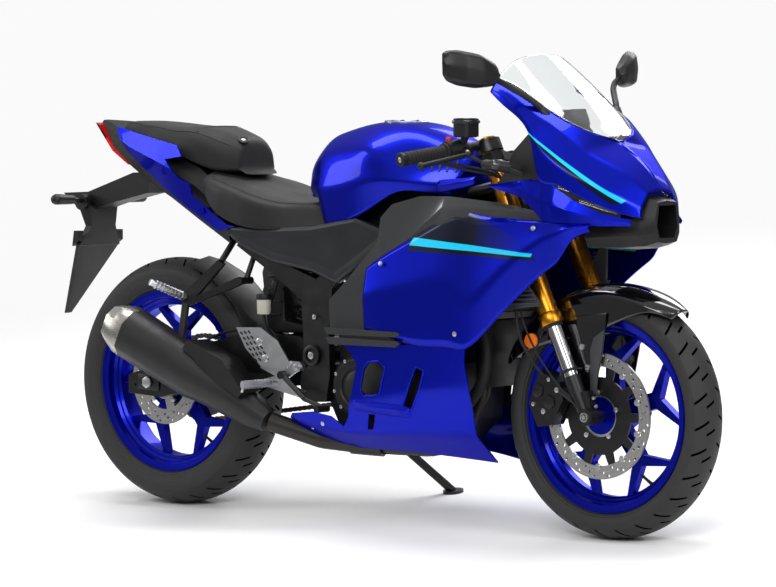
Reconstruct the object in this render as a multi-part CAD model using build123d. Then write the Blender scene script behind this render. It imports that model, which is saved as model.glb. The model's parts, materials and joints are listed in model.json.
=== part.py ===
"""Faired single-seat-and-pillion sport motorcycle, parked leaning on its side stand.

Everything is drawn upright in the bike's own frame, in millimetres: X runs forward from
the rear axle, Y to the rider's left, Z up from the ground. The finished solids are then
leaned over onto the stand and moved, so that the origin is the middle of the footprint.
"""

import os
from math import atan2, cos, degrees, hypot, pi, radians, sin, tan

from build123d import *

# ---- running gear
WHEELBASE = 1380
FRONT_TYRE_RADIUS = 293
FRONT_TYRE_WIDTH = 110
REAR_TYRE_RADIUS = 314
REAR_TYRE_WIDTH = 140
FRONT_RIM_WIDTH = 84
REAR_RIM_WIDTH = 112
RIM_FLANGE_RADIUS = 231
BEAD_SEAT_RADIUS = 218
RIM_WELL_RADIUS = 199
RIM_WALL = 6
TYRE_WALL = 9
SPOKE_COUNT = 5
SPOKE_CENTRE_ANGLE = 18
SPOKE_HALF_SPREAD = 21
SPOKE_SPLIT_RADIUS = 128
SPOKE_STEM_WIDTH = 40
SPOKE_ARM_WIDTH = 15
SPOKE_THICKNESS = 22
HUB_RADIUS = 38
HUB_HALF_LENGTH = 52
DISC_FLANGE_RADIUS = 68
DISC_FLANGE_THICKNESS = 6
BEAD_GAP = 0.3
AXLE_RADIUS = 10
RUNNING_CLEARANCE = 0.4

# ---- steering geometry
RAKE = 25
STEERING_GROUND_X = 1475
FORK_OFFSET = 29
FORK_HALF_SPACING = 100
STEERING_LOCK = 32

# ---- front suspension and controls
OUTER_TUBE_RADIUS = 24
SLIDER_GAP = 0.3
SLIDER_RADIUS = 18.5
OUTER_TUBE_LOW_Z = 505
OUTER_TUBE_TOP_Z = 935
SLIDER_LOW_Z = 385
UPPER_CLAMP_Z = 880
LOWER_CLAMP_Z = 715
CLAMP_THICKNESS = 26
STEM_RADIUS = 14
HEAD_TUBE_RADIUS = 27
HEAD_TUBE_LOW_Z = 738
HEAD_TUBE_TOP_Z = 868
GRIP_RADIUS = 16.5
BAR_RADIUS = 11

# ---- brakes and final drive
FRONT_DISC_RADIUS = 149
FRONT_DISC_BORE = 117
REAR_DISC_RADIUS = 110
REAR_DISC_BORE = 72
FRONT_DISC_THICKNESS = 4.5
REAR_DISC_THICKNESS = 5
FRONT_DISC_FACE_Y = -65
REAR_DISC_FACE_Y = -69
DISC_HOLE_RADIUS = 3.6
PAD_GAP = 5
CHAIN_LINE_Y = 86
FRONT_SPROCKET = (628, 330)
CHAIN_PITCH = 15.875
REAR_SPROCKET_TEETH = 43
FRONT_SPROCKET_TEETH = 14
CHAIN_WIDTH = 17
CHAIN_HEIGHT = 13
SPROCKET_THICKNESS = 6
SPROCKET_BORE = 24

# ---- rear suspension
SWINGARM_PIVOT_X = 552
SWINGARM_PIVOT_Z = 405
SWINGARM_PIVOT_RADIUS = 17
STAND_BOBBIN_RADIUS = 3
STAND_BOBBIN_DEPTH = 18

# ---- side stand and parking
PARKED_LEAN = 9
STAND_PIVOT = (575, 118, 205)
STAND_FOOT = (662, 282)
STAND_LEG_RADIUS = 10.5
STAND_FOOT_RADIUS = 26
STAND_FOOT_THICKNESS = 7
STAND_EYE_RADIUS = 16
STAND_EYE_LENGTH = 14
STAND_PIN_RADIUS = 5.7
STAND_FOLDED_TOWARDS = (-0.93, 0.30, 0.12)

# ---- panels
PANEL_WALL = 4
LEFT_COWL_REAR_X = 690
SCREEN_WALL = 4
SEAT_GAP = 0.3
CAP_RADIUS = 42
CAP_THICKNESS = 7
CAP_OPENING = 100


# ---------------------------------------------------------------- small shape helpers
def rod(start, end, radius, end_radius=None):
    """Round bar, or a cone if the end has its own radius."""
    start, end = Vector(*start), Vector(*end)
    plane = Plane(origin=start, z_dir=end - start)
    length = (end - start).length
    if end_radius is None:
        return Solid.make_cylinder(radius, length, plane)
    return Solid.make_cone(radius, end_radius, length, plane)


def hollow_rod(start, end, radius, bore):
    """Tube between two points."""
    return rod(start, end, radius) - rod(start, end, bore)


def bent_tube(points, radius, bend):
    """Round bar along straight runs with tangent arcs at the corners."""
    path = FilletPolyline(*points, radius=bend)
    section = Plane(origin=path @ 0, z_dir=path % 0) * Circle(radius)
    return sweep(section, path=path).solid()


def side_prism(outline, y_low, y_high):
    """Solid with this side outline of (x, z) points, between two widths."""
    wire = Wire.make_polygon([Vector(x, y_low, z) for x, z in outline], close=True)
    return Solid.extrude(Face(wire), Vector(0, y_high - y_low, 0))


def loft_sections(sections):
    """Straight loft through closed sections of as many points each."""
    wires = [Wire.make_polygon([Vector(*p) for p in s], close=True) for s in sections]
    return Solid.make_loft(wires, ruled=True)


def closed_hull(stations):
    """Symmetric body: each station is (x, half outline of (y, z) from top to bottom)."""
    sections = []
    for x, half in stations:
        left = [(x, y, z) for y, z in half]
        right = [(x, -y, z) for y, z in reversed(half)]
        sections.append(left + right)
    return loft_sections(sections)


def wall_points(line, wall):
    """The open (y, z) line moved inwards by the wall, square to its own runs."""
    moved = []
    for i, (y, z) in enumerate(line):
        before = line[max(i - 1, 0)]
        after = line[min(i + 1, len(line) - 1)]
        run = (after[0] - before[0], after[1] - before[1])
        size = hypot(*run)
        moved.append((y + wall * run[1] / size, z - wall * run[0] / size))
    return moved


def skin(stations, wall=PANEL_WALL):
    """Thin left-hand panel through open section lines that run from top to bottom."""
    sections = []
    for x, line in stations:
        inner = wall_points(line, wall)
        ring = list(line) + inner[::-1]
        sections.append([(x, y, z) for y, z in ring])
    return loft_sections(sections)


def largest(shape):
    """The biggest solid of a shape that a cut may have split."""
    return shape.solids().sort_by(SortBy.VOLUME)[-1]


def both_sides(shape):
    """The shape and its mirror image across the bike's middle plane."""
    return [shape, shape.mirror(Plane.XZ)]


def ring_profile(points, centre_x, centre_z):
    """Full turn about a wheel's axle of a closed (radius, y) profile."""
    wire = Wire.make_polygon([Vector(centre_x, y, centre_z + r) for r, y in points], close=True)
    axis = Axis((centre_x, 0, centre_z), (0, 1, 0))
    return Solid.revolve(Face(wire), 360, axis)


def polar(centre_x, centre_z, radius, angle):
    """Point (x, z) in the side view at this radius and angle from forward."""
    turn = radians(angle)
    return (centre_x + radius * cos(turn), centre_z + radius * sin(turn))


def steering_point(z, forward=0, y=0):
    """Point at height z on a line parallel to the steering axis."""
    slope = tan(radians(RAKE))
    return (STEERING_GROUND_X - slope * z + forward / cos(radians(RAKE)), y, z)


STEERING_AXIS = (-sin(radians(RAKE)), 0, cos(radians(RAKE)))
FRONT_HUB_RIGHT = HUB_HALF_LENGTH + DISC_FLANGE_THICKNESS
FRONT_AXLE = (WHEELBASE, FRONT_TYRE_RADIUS)
REAR_AXLE = (0, REAR_TYRE_RADIUS)


# ---------------------------------------------------------------- wheels
def shoulder_drop(width):
    """How far a tyre's shoulders lie below its crown."""
    return 0.21 * width


def crown_radius(width):
    """Radius of a tyre's crown across its tread."""
    chord = width / 2 - 2
    drop = shoulder_drop(width)
    return (chord ** 2 + drop ** 2) / (2 * drop)


def tyre(centre, radius, width, rim_width):
    """Hollow road tyre: a round crown, sidewalls and beads seated between the rim flanges."""
    half = width / 2
    rim_half = rim_width / 2
    cx, cz = centre

    def at(r, y):
        return (cx, y, cz + r)

    bead = BEAD_SEAT_RADIUS + BEAD_GAP
    lip = RIM_FLANGE_RADIUS + BEAD_GAP
    shoulder = radius - shoulder_drop(width)
    outer = Polyline(at(bead, rim_half - 16), at(bead, rim_half - 6 - BEAD_GAP), at(lip, rim_half - 4 - BEAD_GAP),
                     at(lip + 3, rim_half + 2))
    side = ThreePointArc(outer @ 1, at((shoulder + lip) / 2, half), at(shoulder, half - 2))
    crown = ThreePointArc(side @ 1, at(radius, 0), at(shoulder, 2 - half))
    side_r = ThreePointArc(crown @ 1, at((shoulder + lip) / 2, -half), at(lip + 3, -rim_half - 2))
    foot = Polyline(side_r @ 1, at(lip, 4 + BEAD_GAP - rim_half), at(bead, 6 + BEAD_GAP - rim_half),
                    at(bead, 16 - rim_half))
    inner = ThreePointArc(foot @ 1, at(radius - TYRE_WALL, 0), outer @ 0)
    face = make_face(Curve() + [outer, side, crown, side_r, foot, inner])
    return revolve(face, Axis((cx, 0, cz), (0, 1, 0)), 360).solid()


def rim(centre, rim_width, disc_side_length):
    """Cast wheel: barrel, hub with a disc flange on the right, and split spokes."""
    cx, cz = centre
    half = rim_width / 2
    well_half = half - 34
    # columns: radius, y
    profile = [
        (RIM_FLANGE_RADIUS, half), (RIM_FLANGE_RADIUS, half - 4), (BEAD_SEAT_RADIUS, half - 6),
        (BEAD_SEAT_RADIUS - 2, half - 20), (RIM_WELL_RADIUS, well_half),
        (RIM_WELL_RADIUS, -well_half), (BEAD_SEAT_RADIUS - 2, 20 - half),
        (BEAD_SEAT_RADIUS, 6 - half), (RIM_FLANGE_RADIUS, 4 - half), (RIM_FLANGE_RADIUS, -half),
        (BEAD_SEAT_RADIUS - 4, 3 - half), (BEAD_SEAT_RADIUS - 2 - RIM_WALL, 17 - half),
        (RIM_WELL_RADIUS - RIM_WALL, -well_half - 2), (RIM_WELL_RADIUS - RIM_WALL, well_half + 2),
        (BEAD_SEAT_RADIUS - 2 - RIM_WALL, half - 17), (BEAD_SEAT_RADIUS - 4, half - 3),
    ]
    barrel = ring_profile(profile, cx, cz)
    hub = rod((cx, -disc_side_length, cz), (cx, HUB_HALF_LENGTH, cz), HUB_RADIUS)
    flange = rod((cx, -disc_side_length, cz), (cx, DISC_FLANGE_THICKNESS - disc_side_length, cz), DISC_FLANGE_RADIUS)
    bore = rod((cx, -disc_side_length - 1, cz), (cx, HUB_HALF_LENGTH + 1, cz), AXLE_RADIUS + RUNNING_CLEARANCE)
    wheel = barrel + hub + flange
    reach = RIM_WELL_RADIUS - RIM_WALL / 2
    half_thick = SPOKE_THICKNESS / 2
    stem_swing = degrees(atan2(SPOKE_STEM_WIDTH / 2, SPOKE_SPLIT_RADIUS))
    arm_swing = degrees(SPOKE_ARM_WIDTH / 2 / reach)
    crotch = SPOKE_SPLIT_RADIUS + 16
    for i in range(SPOKE_COUNT):
        middle = SPOKE_CENTRE_ANGLE + i * 360 / SPOKE_COUNT
        outline = [
            polar(cx, cz, HUB_RADIUS - 4, middle - 40),
            polar(cx, cz, SPOKE_SPLIT_RADIUS, middle - stem_swing),
            polar(cx, cz, reach, middle - SPOKE_HALF_SPREAD - arm_swing),
            polar(cx, cz, reach, middle - SPOKE_HALF_SPREAD + arm_swing),
            polar(cx, cz, crotch, middle),
            polar(cx, cz, reach, middle + SPOKE_HALF_SPREAD - arm_swing),
            polar(cx, cz, reach, middle + SPOKE_HALF_SPREAD + arm_swing),
            polar(cx, cz, SPOKE_SPLIT_RADIUS, middle + stem_swing),
            polar(cx, cz, HUB_RADIUS - 4, middle + 40),
        ]
        wheel += side_prism(outline, -half_thick, half_thick)
    return (wheel - bore).solid()


def drilled_disc(centre, outer_face, thickness, radius, bore, rows):
    """Brake disc with rings of holes; rows are (radius, count, first angle)."""
    cx, cz = centre
    disc = hollow_rod((cx, outer_face, cz), (cx, outer_face + thickness, cz), radius, bore)
    holes = []
    for row_radius, count, first in rows:
        for i in range(count):
            x, z = polar(cx, cz, row_radius, first + i * 360 / count)
            holes.append(rod((x, outer_face - 1, z), (x, outer_face + thickness + 1, z), DISC_HOLE_RADIUS))
    return (disc - holes).solid()


def star_carrier(centre, outer_face, thickness, ring_radius, arm_radius, hub_radius, arms, half_angle):
    """Brake disc carrier: a ring with short arms out to the disc."""
    cx, cz = centre
    low, high = outer_face, outer_face + thickness
    body = rod((cx, low, cz), (cx, high, cz), ring_radius)
    for i in range(arms):
        middle = i * 360 / arms
        outline = [polar(cx, cz, ring_radius - 12, middle - half_angle),
                   polar(cx, cz, arm_radius, middle - half_angle / 2),
                   polar(cx, cz, arm_radius, middle + half_angle / 2),
                   polar(cx, cz, ring_radius - 12, middle + half_angle)]
        body += side_prism(outline, low, high)
    return (body - rod((cx, low - 1, cz), (cx, high + 1, cz), hub_radius)).solid()


def sprocket_radius(teeth):
    """Pitch radius of a chain sprocket."""
    return CHAIN_PITCH / (2 * sin(pi / teeth))


# ---------------------------------------------------------------- assembly store
bodies = {"root": [], "steering": [], "front_wheel": [], "rear_wheel": [], "side_stand": [], "fuel_cap": []}
nodes = {}


def add(body, name, *solids):
    """Keep a piece as a node of one body; several solids share the node."""
    flat = []
    for shape in solids:
        flat.extend(shape if isinstance(shape, (list, tuple)) else [shape])
    nodes[name] = flat
    bodies[body].append(name)


# ---------------------------------------------------------------- both wheels
def build_wheels():
    """Tyres, rims, discs and the final drive sprocket."""
    add("front_wheel", "front_tyre", tyre(FRONT_AXLE, FRONT_TYRE_RADIUS, FRONT_TYRE_WIDTH, FRONT_RIM_WIDTH))
    add("front_wheel", "front_rim", rim(FRONT_AXLE, FRONT_RIM_WIDTH, FRONT_HUB_RIGHT))
    add("rear_wheel", "rear_tyre", tyre(REAR_AXLE, REAR_TYRE_RADIUS, REAR_TYRE_WIDTH, REAR_RIM_WIDTH))
    add("rear_wheel", "rear_rim", rim(REAR_AXLE, REAR_RIM_WIDTH, HUB_HALF_LENGTH))
    add("front_wheel", "front_brake_disc",
        drilled_disc(FRONT_AXLE, FRONT_DISC_FACE_Y, FRONT_DISC_THICKNESS, FRONT_DISC_RADIUS, FRONT_DISC_BORE,
                     [(125, 20, 0), (134, 20, 6), (142, 20, 12)]))
    carrier_face = FRONT_DISC_FACE_Y + 1
    add("front_wheel", "front_disc_carrier",
        star_carrier(FRONT_AXLE, carrier_face, -FRONT_HUB_RIGHT - carrier_face, 92, FRONT_DISC_BORE, 50, 10, 9))
    rear_disc = drilled_disc(REAR_AXLE, REAR_DISC_FACE_Y, REAR_DISC_THICKNESS, REAR_DISC_RADIUS, REAR_DISC_BORE,
                             [(84, 16, 0), (93, 16, 7), (102, 16, 14)])
    rear_spider = star_carrier(REAR_AXLE, REAR_DISC_FACE_Y, -HUB_HALF_LENGTH - REAR_DISC_FACE_Y, 46,
                               REAR_DISC_BORE + 2, 24, 5, 22)
    add("rear_wheel", "rear_brake_disc", (rear_disc + rear_spider).solid())
    low = CHAIN_LINE_Y - SPROCKET_THICKNESS / 2
    high = CHAIN_LINE_Y + SPROCKET_THICKNESS / 2
    cz = REAR_AXLE[1]
    tip = sprocket_radius(REAR_SPROCKET_TEETH) - CHAIN_HEIGHT / 2 - 3.5
    plate = rod((0, low, cz), (0, high, cz), tip)
    boss = rod((0, HUB_HALF_LENGTH, cz), (0, high, cz), 50)
    cuts = [rod((0, HUB_HALF_LENGTH - 1, cz), (0, high + 1, cz), SPROCKET_BORE)]
    for i in range(5):
        x, z = polar(0, cz, 72, 36 + i * 72)
        cuts.append(rod((x, low - 1, z), (x, high + 1, z), 15))
    add("rear_wheel", "rear_sprocket", (plate + boss - cuts).solid())


# ---------------------------------------------------------------- fork, bars and front brake
def fork_line(z, side):
    """Point on a fork leg's centre line."""
    return steering_point(z, FORK_OFFSET, side * FORK_HALF_SPACING)


def lug_space():
    """Room of the lower fork legs and lugs, for cutting what bolts to them."""
    cz = FRONT_AXLE[1]
    return [rod(fork_line(cz + 12, side), fork_line(SLIDER_LOW_Z, side), 17, 21) for side in (-1, 1)]


def build_fork():
    """Upside-down fork: outer tubes, sliders, axle lugs and the front axle."""
    tubes, sliders = [], []
    cx, cz = FRONT_AXLE
    end = FORK_HALF_SPACING + 24
    feet = rod((cx, -end, cz), (cx, end, cz), AXLE_RADIUS)
    lug_half = 19
    spacer_ends = {-1: FRONT_HUB_RIGHT, 1: HUB_HALF_LENGTH}
    for side in (-1, 1):
        tubes.append(hollow_rod(fork_line(OUTER_TUBE_LOW_Z, side), fork_line(OUTER_TUBE_TOP_Z, side),
                                OUTER_TUBE_RADIUS, SLIDER_RADIUS + SLIDER_GAP))
        sliders.append(rod(fork_line(SLIDER_LOW_Z, side), fork_line(LOWER_CLAMP_Z - 60, side), SLIDER_RADIUS))
        y = side * FORK_HALF_SPACING
        leg_low = fork_line(cz + 12, side)
        feet += rod((cx, y - lug_half, cz), (cx, y + lug_half, cz), 20)
        feet += side_prism([(cx - 19, cz - 4), (cx + 12, cz + 16), (leg_low[0] + 16, cz + 62),
                            (leg_low[0] - 20, cz + 54)], y - 11, y + 11)
        feet += rod((cx, y, cz), (cx, side * (spacer_ends[side] + RUNNING_CLEARANCE), cz), 15)
    for lug in lug_space():
        feet += lug
    add("steering", "fork_outer_tubes", tubes)
    add("steering", "fork_sliders", sliders)
    add("steering", "fork_feet_and_axle", feet.solid())


def clamp(z, width_ahead):
    """Fork clamp: a plate square to the steering axis, bored for the tubes and the stem."""
    centre = Vector(*steering_point(z))
    plane = Plane(origin=centre, x_dir=(cos(radians(RAKE)), 0, sin(radians(RAKE))), z_dir=STEERING_AXIS)
    spread = FORK_HALF_SPACING
    boss = OUTER_TUBE_RADIUS + 10
    outline = Polyline((-28, -30), (-28, 30), (FORK_OFFSET - 12, spread + boss - 8), (FORK_OFFSET + 20, spread + boss - 10),
                       (FORK_OFFSET + 30, spread - 4), (width_ahead, 30), (width_ahead, -30), (FORK_OFFSET + 30, 4 - spread),
                       (FORK_OFFSET + 20, 10 - spread - boss), (FORK_OFFSET - 12, 8 - spread - boss), close=True)
    plate = extrude(plane * make_face(outline), amount=CLAMP_THICKNESS / 2, both=True)
    for side in (-1, 1):
        plate -= rod(fork_line(z - 40, side), fork_line(z + 40, side), OUTER_TUBE_RADIUS)
    return plate


def build_clamps():
    """Upper and lower clamps joined by the stem."""
    upper = clamp(UPPER_CLAMP_Z, 34)
    lower = clamp(LOWER_CLAMP_Z, 40)
    stem = rod(steering_point(LOWER_CLAMP_Z), steering_point(UPPER_CLAMP_Z + 22), STEM_RADIUS)
    nut = rod(steering_point(UPPER_CLAMP_Z), steering_point(UPPER_CLAMP_Z + 24), 19)
    add("steering", "fork_clamps", (upper + lower + stem + nut).solid())


# The bar leaves its ring on the fork tube outwards, back and slightly down.
BAR_ROOT = steering_point(925, FORK_OFFSET - 6, FORK_HALF_SPACING + 20)
BAR_END = (1012, 352, 893)


def along_bar(distance, side):
    """Point on a handlebar at this distance from its root, on one side."""
    root, end = Vector(*BAR_ROOT), Vector(*BAR_END)
    point = root + (end - root).normalized() * distance
    return (point.X, side * point.Y, point.Z)


def build_bars():
    """Clip-on handlebars, grips, and the controls: housings, levers and brake reservoir."""
    length = (Vector(*BAR_END) - Vector(*BAR_ROOT)).length
    bars, grips, controls = [], [], []
    for side in (-1, 1):
        ring = hollow_rod(fork_line(UPPER_CLAMP_Z + 26, side), fork_line(UPPER_CLAMP_Z + 53, side),
                          OUTER_TUBE_RADIUS + 8, OUTER_TUBE_RADIUS)
        bar = rod(along_bar(-4, side), along_bar(length - 14, side), BAR_RADIUS)
        tube_space = rod(fork_line(OUTER_TUBE_LOW_Z, side), fork_line(OUTER_TUBE_TOP_Z + 40, side), OUTER_TUBE_RADIUS)
        bars.append((ring + bar - tube_space).solid())
        grips.append(hollow_rod(along_bar(length - 135, side), along_bar(length - 14, side), GRIP_RADIUS, BAR_RADIUS)
                     + rod(along_bar(length - 14, side), along_bar(length, side), GRIP_RADIUS - 1))
        perch_centre = Vector(*along_bar(length - 172, side))
        root = perch_centre + Vector(26, 0, -2)
        knuckle = Vector(*along_bar(length - 150, side)) + Vector(52, 0, -8)
        tip = Vector(*along_bar(length - 6, side)) + Vector(58, 0, -14)
        control = rod(along_bar(length - 186, side), along_bar(length - 137, side), 24)
        control += rod(perch_centre, root + Vector(14, 0, -3), 11)
        control += rod(root, knuckle, 8) + rod(knuckle, tip, 6)
        control += Solid.make_sphere(8, Plane(origin=knuckle)) + Solid.make_sphere(9, Plane(origin=tip))
        if side < 0:
            tank = Box(46, 52, 42)
            tank = fillet(tank.edges().filter_by(Axis.Z), 10)
            control += Pos(*(perch_centre + Vector(22, 4, 52))) * tank
            control += rod(perch_centre + Vector(10, 4, 10), perch_centre + Vector(22, 4, 34), 9)
        bar_space = rod(along_bar(-4, side), along_bar(length, side), BAR_RADIUS)
        controls.append((control - bar_space).solid())
    add("steering", "handlebars", bars)
    add("steering", "grips", grips)
    add("steering", "bar_controls", controls)


def build_fender():
    """Front mudguard: a crown over the tyre with a lobe down to each fork lug."""
    cx, cz = FRONT_AXLE
    # columns: angle from forward, crown radius, half width, depth of the side below the crown
    rows = [(51, 324, 30, 2), (62, 318, 60, 14), (76, 313, 66, 60), (92, 311, 68, 90),
            (110, 311, 70, 96), (130, 312, 68, 70), (148, 318, 66, 30), (158, 322, 56, 6)]
    sections = []
    for angle, crown, half, depth in rows:
        turn = radians(angle)
        ring = [(0, crown), (0.62 * half, crown - 7), (half, crown - 24), (half + 1, crown - 24 - depth),
                (half - 2.5, crown - 24 - depth), (half - 3.2, crown - 26), (0.58 * half, crown - 11), (0, crown - 4)]
        sections.append([(cx + r * cos(turn), y, cz + r * sin(turn)) for y, r in ring])
    left = loft_sections(sections)
    guard = left + left.mirror(Plane.XZ)
    lobe_low, lobe_high = 70.6, 74.2
    outline = [(1408, 536), (1400, 470), (1384, 400), (1380, 340), (1352, 330), (1330, 372), (1296, 440), (1262, 520)]
    for lobe in both_sides(side_prism(outline, lobe_low, lobe_high)):
        guard += lobe
    for side in (-1, 1):
        x, _, z = fork_line(400, side)
        guard += rod((x + 6, side * lobe_low, z), (x + 6, side * (FORK_HALF_SPACING - 14), z), 7)
        x, _, z = fork_line(470, side)
        guard += rod((x, side * lobe_low, z), (x, side * (FORK_HALF_SPACING - SLIDER_RADIUS + 3), z), 7)
        guard -= rod(fork_line(SLIDER_LOW_Z, side), fork_line(LOWER_CLAMP_Z, side), SLIDER_RADIUS)
    add("steering", "front_fender", (guard - lug_space()).solid())


def build_front_brake():
    """Front caliper straddling the disc."""
    cx, cz = FRONT_AXLE
    face = FRONT_DISC_FACE_Y
    outline = [(1232, 396), (1290, 372), (1302, 330), (1268, 268), (1226, 262), (1200, 318)]
    body = side_prism(outline, face - 36, face + 26)
    slot = rod((cx, face - PAD_GAP, cz), (cx, face + FRONT_DISC_THICKNESS + PAD_GAP, cz), FRONT_DISC_RADIUS + 6)
    wheel_space = ring_profile([(60, -53), (122, -53), (122, -46), (236, -46), (236, 60), (60, 60)], cx, cz)
    body = largest(body - slot - wheel_space)
    lug = rod((1296, face - 35, 352), (1330, 4 - FORK_HALF_SPACING, 330), 9)
    add("steering", "front_caliper", largest(body + lug - nodes["fork_feet_and_axle"][0]))


build_wheels()
build_fork()
build_clamps()
build_bars()
build_fender()
build_front_brake()


# ---------------------------------------------------------------- the lean and the side stand's place
GROUND_DROP = crown_radius(REAR_TYRE_WIDTH) * (1 - cos(radians(PARKED_LEAN)))


def ground_height(y):
    """Upright height of the floor at this distance to the left, once the bike leans."""
    turn = radians(PARKED_LEAN)
    return (y * sin(turn) - GROUND_DROP) / cos(turn)


def stand_foot():
    """Middle of the stand's foot, on the floor."""
    x, y = STAND_FOOT
    return Vector(x, y, ground_height(y))


def stand_axis():
    """Pivot axis: square to the leg both as it stands and as it is folded."""
    leg = (stand_foot() - Vector(*STAND_PIVOT)).normalized()
    return leg.cross(Vector(*STAND_FOLDED_TOWARDS)).normalized()


def stand_bracket():
    """Lug and pin that carry the side stand."""
    pivot, axis = Vector(*STAND_PIVOT), stand_axis()
    reach = STAND_EYE_LENGTH / 2 + 1
    bracket = Solid.make_cylinder(STAND_PIN_RADIUS, 2 * reach + 6, Plane(origin=pivot - axis * (reach + 6), z_dir=axis))
    bracket += Solid.make_cylinder(10, 6, Plane(origin=pivot - axis * (reach + 6), z_dir=axis))
    bracket += Solid.make_cylinder(12, 18, Plane(origin=pivot + axis * reach, z_dir=axis))
    bracket += rod(pivot + axis * (reach + 16), (540, 116, 300), 9)
    return bracket


# ---------------------------------------------------------------- frame, engine, rear suspension
FRAME_INNER_Y = 106
FRAME_OUTER_Y = 128
SWINGARM_INNER_Y = 82
CHAIN_ARM_LOW_Y = 99
CHAIN_ARM_HIGH_Y = 121
AXLE_END_Y = 137


def build_frame():
    """Steel frame: head tube, side spars, pivot plates and cross members."""
    head = rod(steering_point(HEAD_TUBE_LOW_Z), steering_point(HEAD_TUBE_TOP_Z), HEAD_TUBE_RADIUS)
    spar = [(925, 768), (815, 722), (690, 640), (612, 572), (600, 470), (604, 360), (592, 292), (522, 288),
            (508, 330), (520, 430), (512, 540), (420, 600), (300, 668), (312, 692), (430, 636), (560, 592),
            (660, 662), (800, 750), (915, 800)]
    frame = head
    neck_top = steering_point(HEAD_TUBE_TOP_Z - 34)
    neck_low = steering_point(HEAD_TUBE_LOW_Z + 22)
    for side, plate in zip((1, -1), both_sides(side_prism(spar, FRAME_INNER_Y, FRAME_OUTER_Y))):
        frame += plate
        frame += rod((neck_top[0] - 16, side * 10, neck_top[2]), (905, side * 117, 785), 14)
        frame += rod((neck_low[0] - 16, side * 10, neck_low[2]), (800, side * 117, 715), 14)
    for x, z, radius in ((545, 565, 16), (548, 322, 16)):
        frame += rod((x, -FRAME_INNER_Y - 2, z), (x, FRAME_INNER_Y + 2, z), radius)
    frame += rod((SWINGARM_PIVOT_X, -FRAME_OUTER_Y - 7, SWINGARM_PIVOT_Z),
                 (SWINGARM_PIVOT_X, FRAME_OUTER_Y + 7, SWINGARM_PIVOT_Z), SWINGARM_PIVOT_RADIUS)
    frame -= rod(steering_point(HEAD_TUBE_LOW_Z - 5), steering_point(HEAD_TUBE_TOP_Z + 5),
                 STEM_RADIUS + RUNNING_CLEARANCE)
    frame = (frame + stand_bracket()).solid()
    add("root", "main_frame", frame)
    rails = None
    for side in (-1, 1):
        lower = [(430, side * 92, 610), (150, side * 84, 756), (-60, side * 48, 862)]
        upper = [(560, side * 92, 688), (300, side * 88, 706), (130, side * 78, 800), (-60, side * 48, 895)]
        for run in (lower, upper):
            tube = bent_tube(run, 10, 60)
            rails = tube if rails is None else rails + tube
        rails += rod((440, side * 92, 604), (440, side * FRAME_INNER_Y, 604), 9)
        rails += rod((552, side * 92, 692), (552, side * 92, 590), 9)
        rails += rod((552, side * 92, 598), (552, side * FRAME_INNER_Y, 572), 8)
        rails += rod((-40, side * 51, 850), (-40, side * 51, 887), 8)
    for x, z, y in ((150, 756, 84), (240, 739, 84), (-20, 842, 55)):
        rails += rod((x, -y, z), (x, y, z), 9)
    add("root", "subframe", largest(rails - frame))
    return frame


def build_engine(frame):
    """Parallel twin as one block with its covers, sump, radiator and exhaust."""
    case = side_prism([(575, 300), (620, 216), (760, 200), (900, 205), (965, 262), (975, 400), (925, 450),
                       (980, 640), (992, 690), (860, 716), (806, 700), (772, 486), (640, 478), (612, 420), (610, 330)],
                      -98, 98)
    case -= side_prism([(550, 262), (600, 262), (690, 270), (690, 400), (550, 400)], 70, 100)
    sump = side_prism([(650, 206), (668, 166), (860, 168), (886, 206)], -62, 62)
    right = rod((700, -140, 335), (700, -90, 335), 74) + rod((810, -132, 330), (810, -90, 330), 58)
    left = rod((810, 130, 330), (810, 90, 330), 66)
    shaft = rod((FRONT_SPROCKET[0], 60, FRONT_SPROCKET[1]), (FRONT_SPROCKET[0], CHAIN_LINE_Y + 6, FRONT_SPROCKET[1]), 14)
    half = SPROCKET_THICKNESS / 2
    wheel = rod((FRONT_SPROCKET[0], CHAIN_LINE_Y - half, FRONT_SPROCKET[1]),
                (FRONT_SPROCKET[0], CHAIN_LINE_Y + half, FRONT_SPROCKET[1]),
                sprocket_radius(FRONT_SPROCKET_TEETH) - CHAIN_HEIGHT / 2)
    engine = largest(case + sump + right + left + shaft + wheel - frame)
    for z in range(500, 640, 20):
        groove = side_prism([(760, z), (1000, z + 6), (1000, z + 14), (760, z + 8)], 90, 99)
        for cut in both_sides(groove):
            engine -= cut
    engine = engine.solid()
    add("root", "engine", engine)
    radiator = side_prism([(1030, 512), (1056, 508), (1076, 690), (1050, 694)], -140, 140)
    for end in both_sides(side_prism([(1026, 508), (1060, 504), (1080, 694), (1046, 698)], 128, 150)):
        radiator += end
    radiator += side_prism([(972, 652), (1050, 640), (1050, 656), (972, 668)], -12, 12)
    add("root", "radiator", largest(radiator - engine))
    pipes = None
    for side in (-1, 1):
        run = [(968, side * 48, 560), (1012, side * 46, 520), (1018, side * 42, 330), (948, side * 34, 222),
               (880, -40 + side * 22, 186), (700, -60, 186)]
        tube = bent_tube(run, 17, 34)
        pipes = tube if pipes is None else pipes + tube
    pipes += rod((720, -60, 186), (640, -84, 190), 26)
    pipes += bent_tube([(660, -78, 190), (560, -104, 198), (430, -146, 236)], 24, 80)
    pipes = largest(pipes - engine)
    add("root", "exhaust_pipe", pipes)
    return engine, pipes


# Silencer sections along its axis: distance, half height, half width.
SILENCER_FRONT = (424, -148, 238)
SILENCER_REAR = (-30, -186, 452)
SILENCER_ROWS = [(0, 27, 27), (60, 40, 36), (205, 52, 46), (250, 60, 52), (478, 62, 54)]
SILENCER_HANGER_LOW = (140, -160, 420)
SILENCER_HANGER_HIGH = (150, -152, 520)
SILENCER_CAP_ROWS = [(478, 62, 54), (500, 61, 53), (540, 46, 42)]


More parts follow.
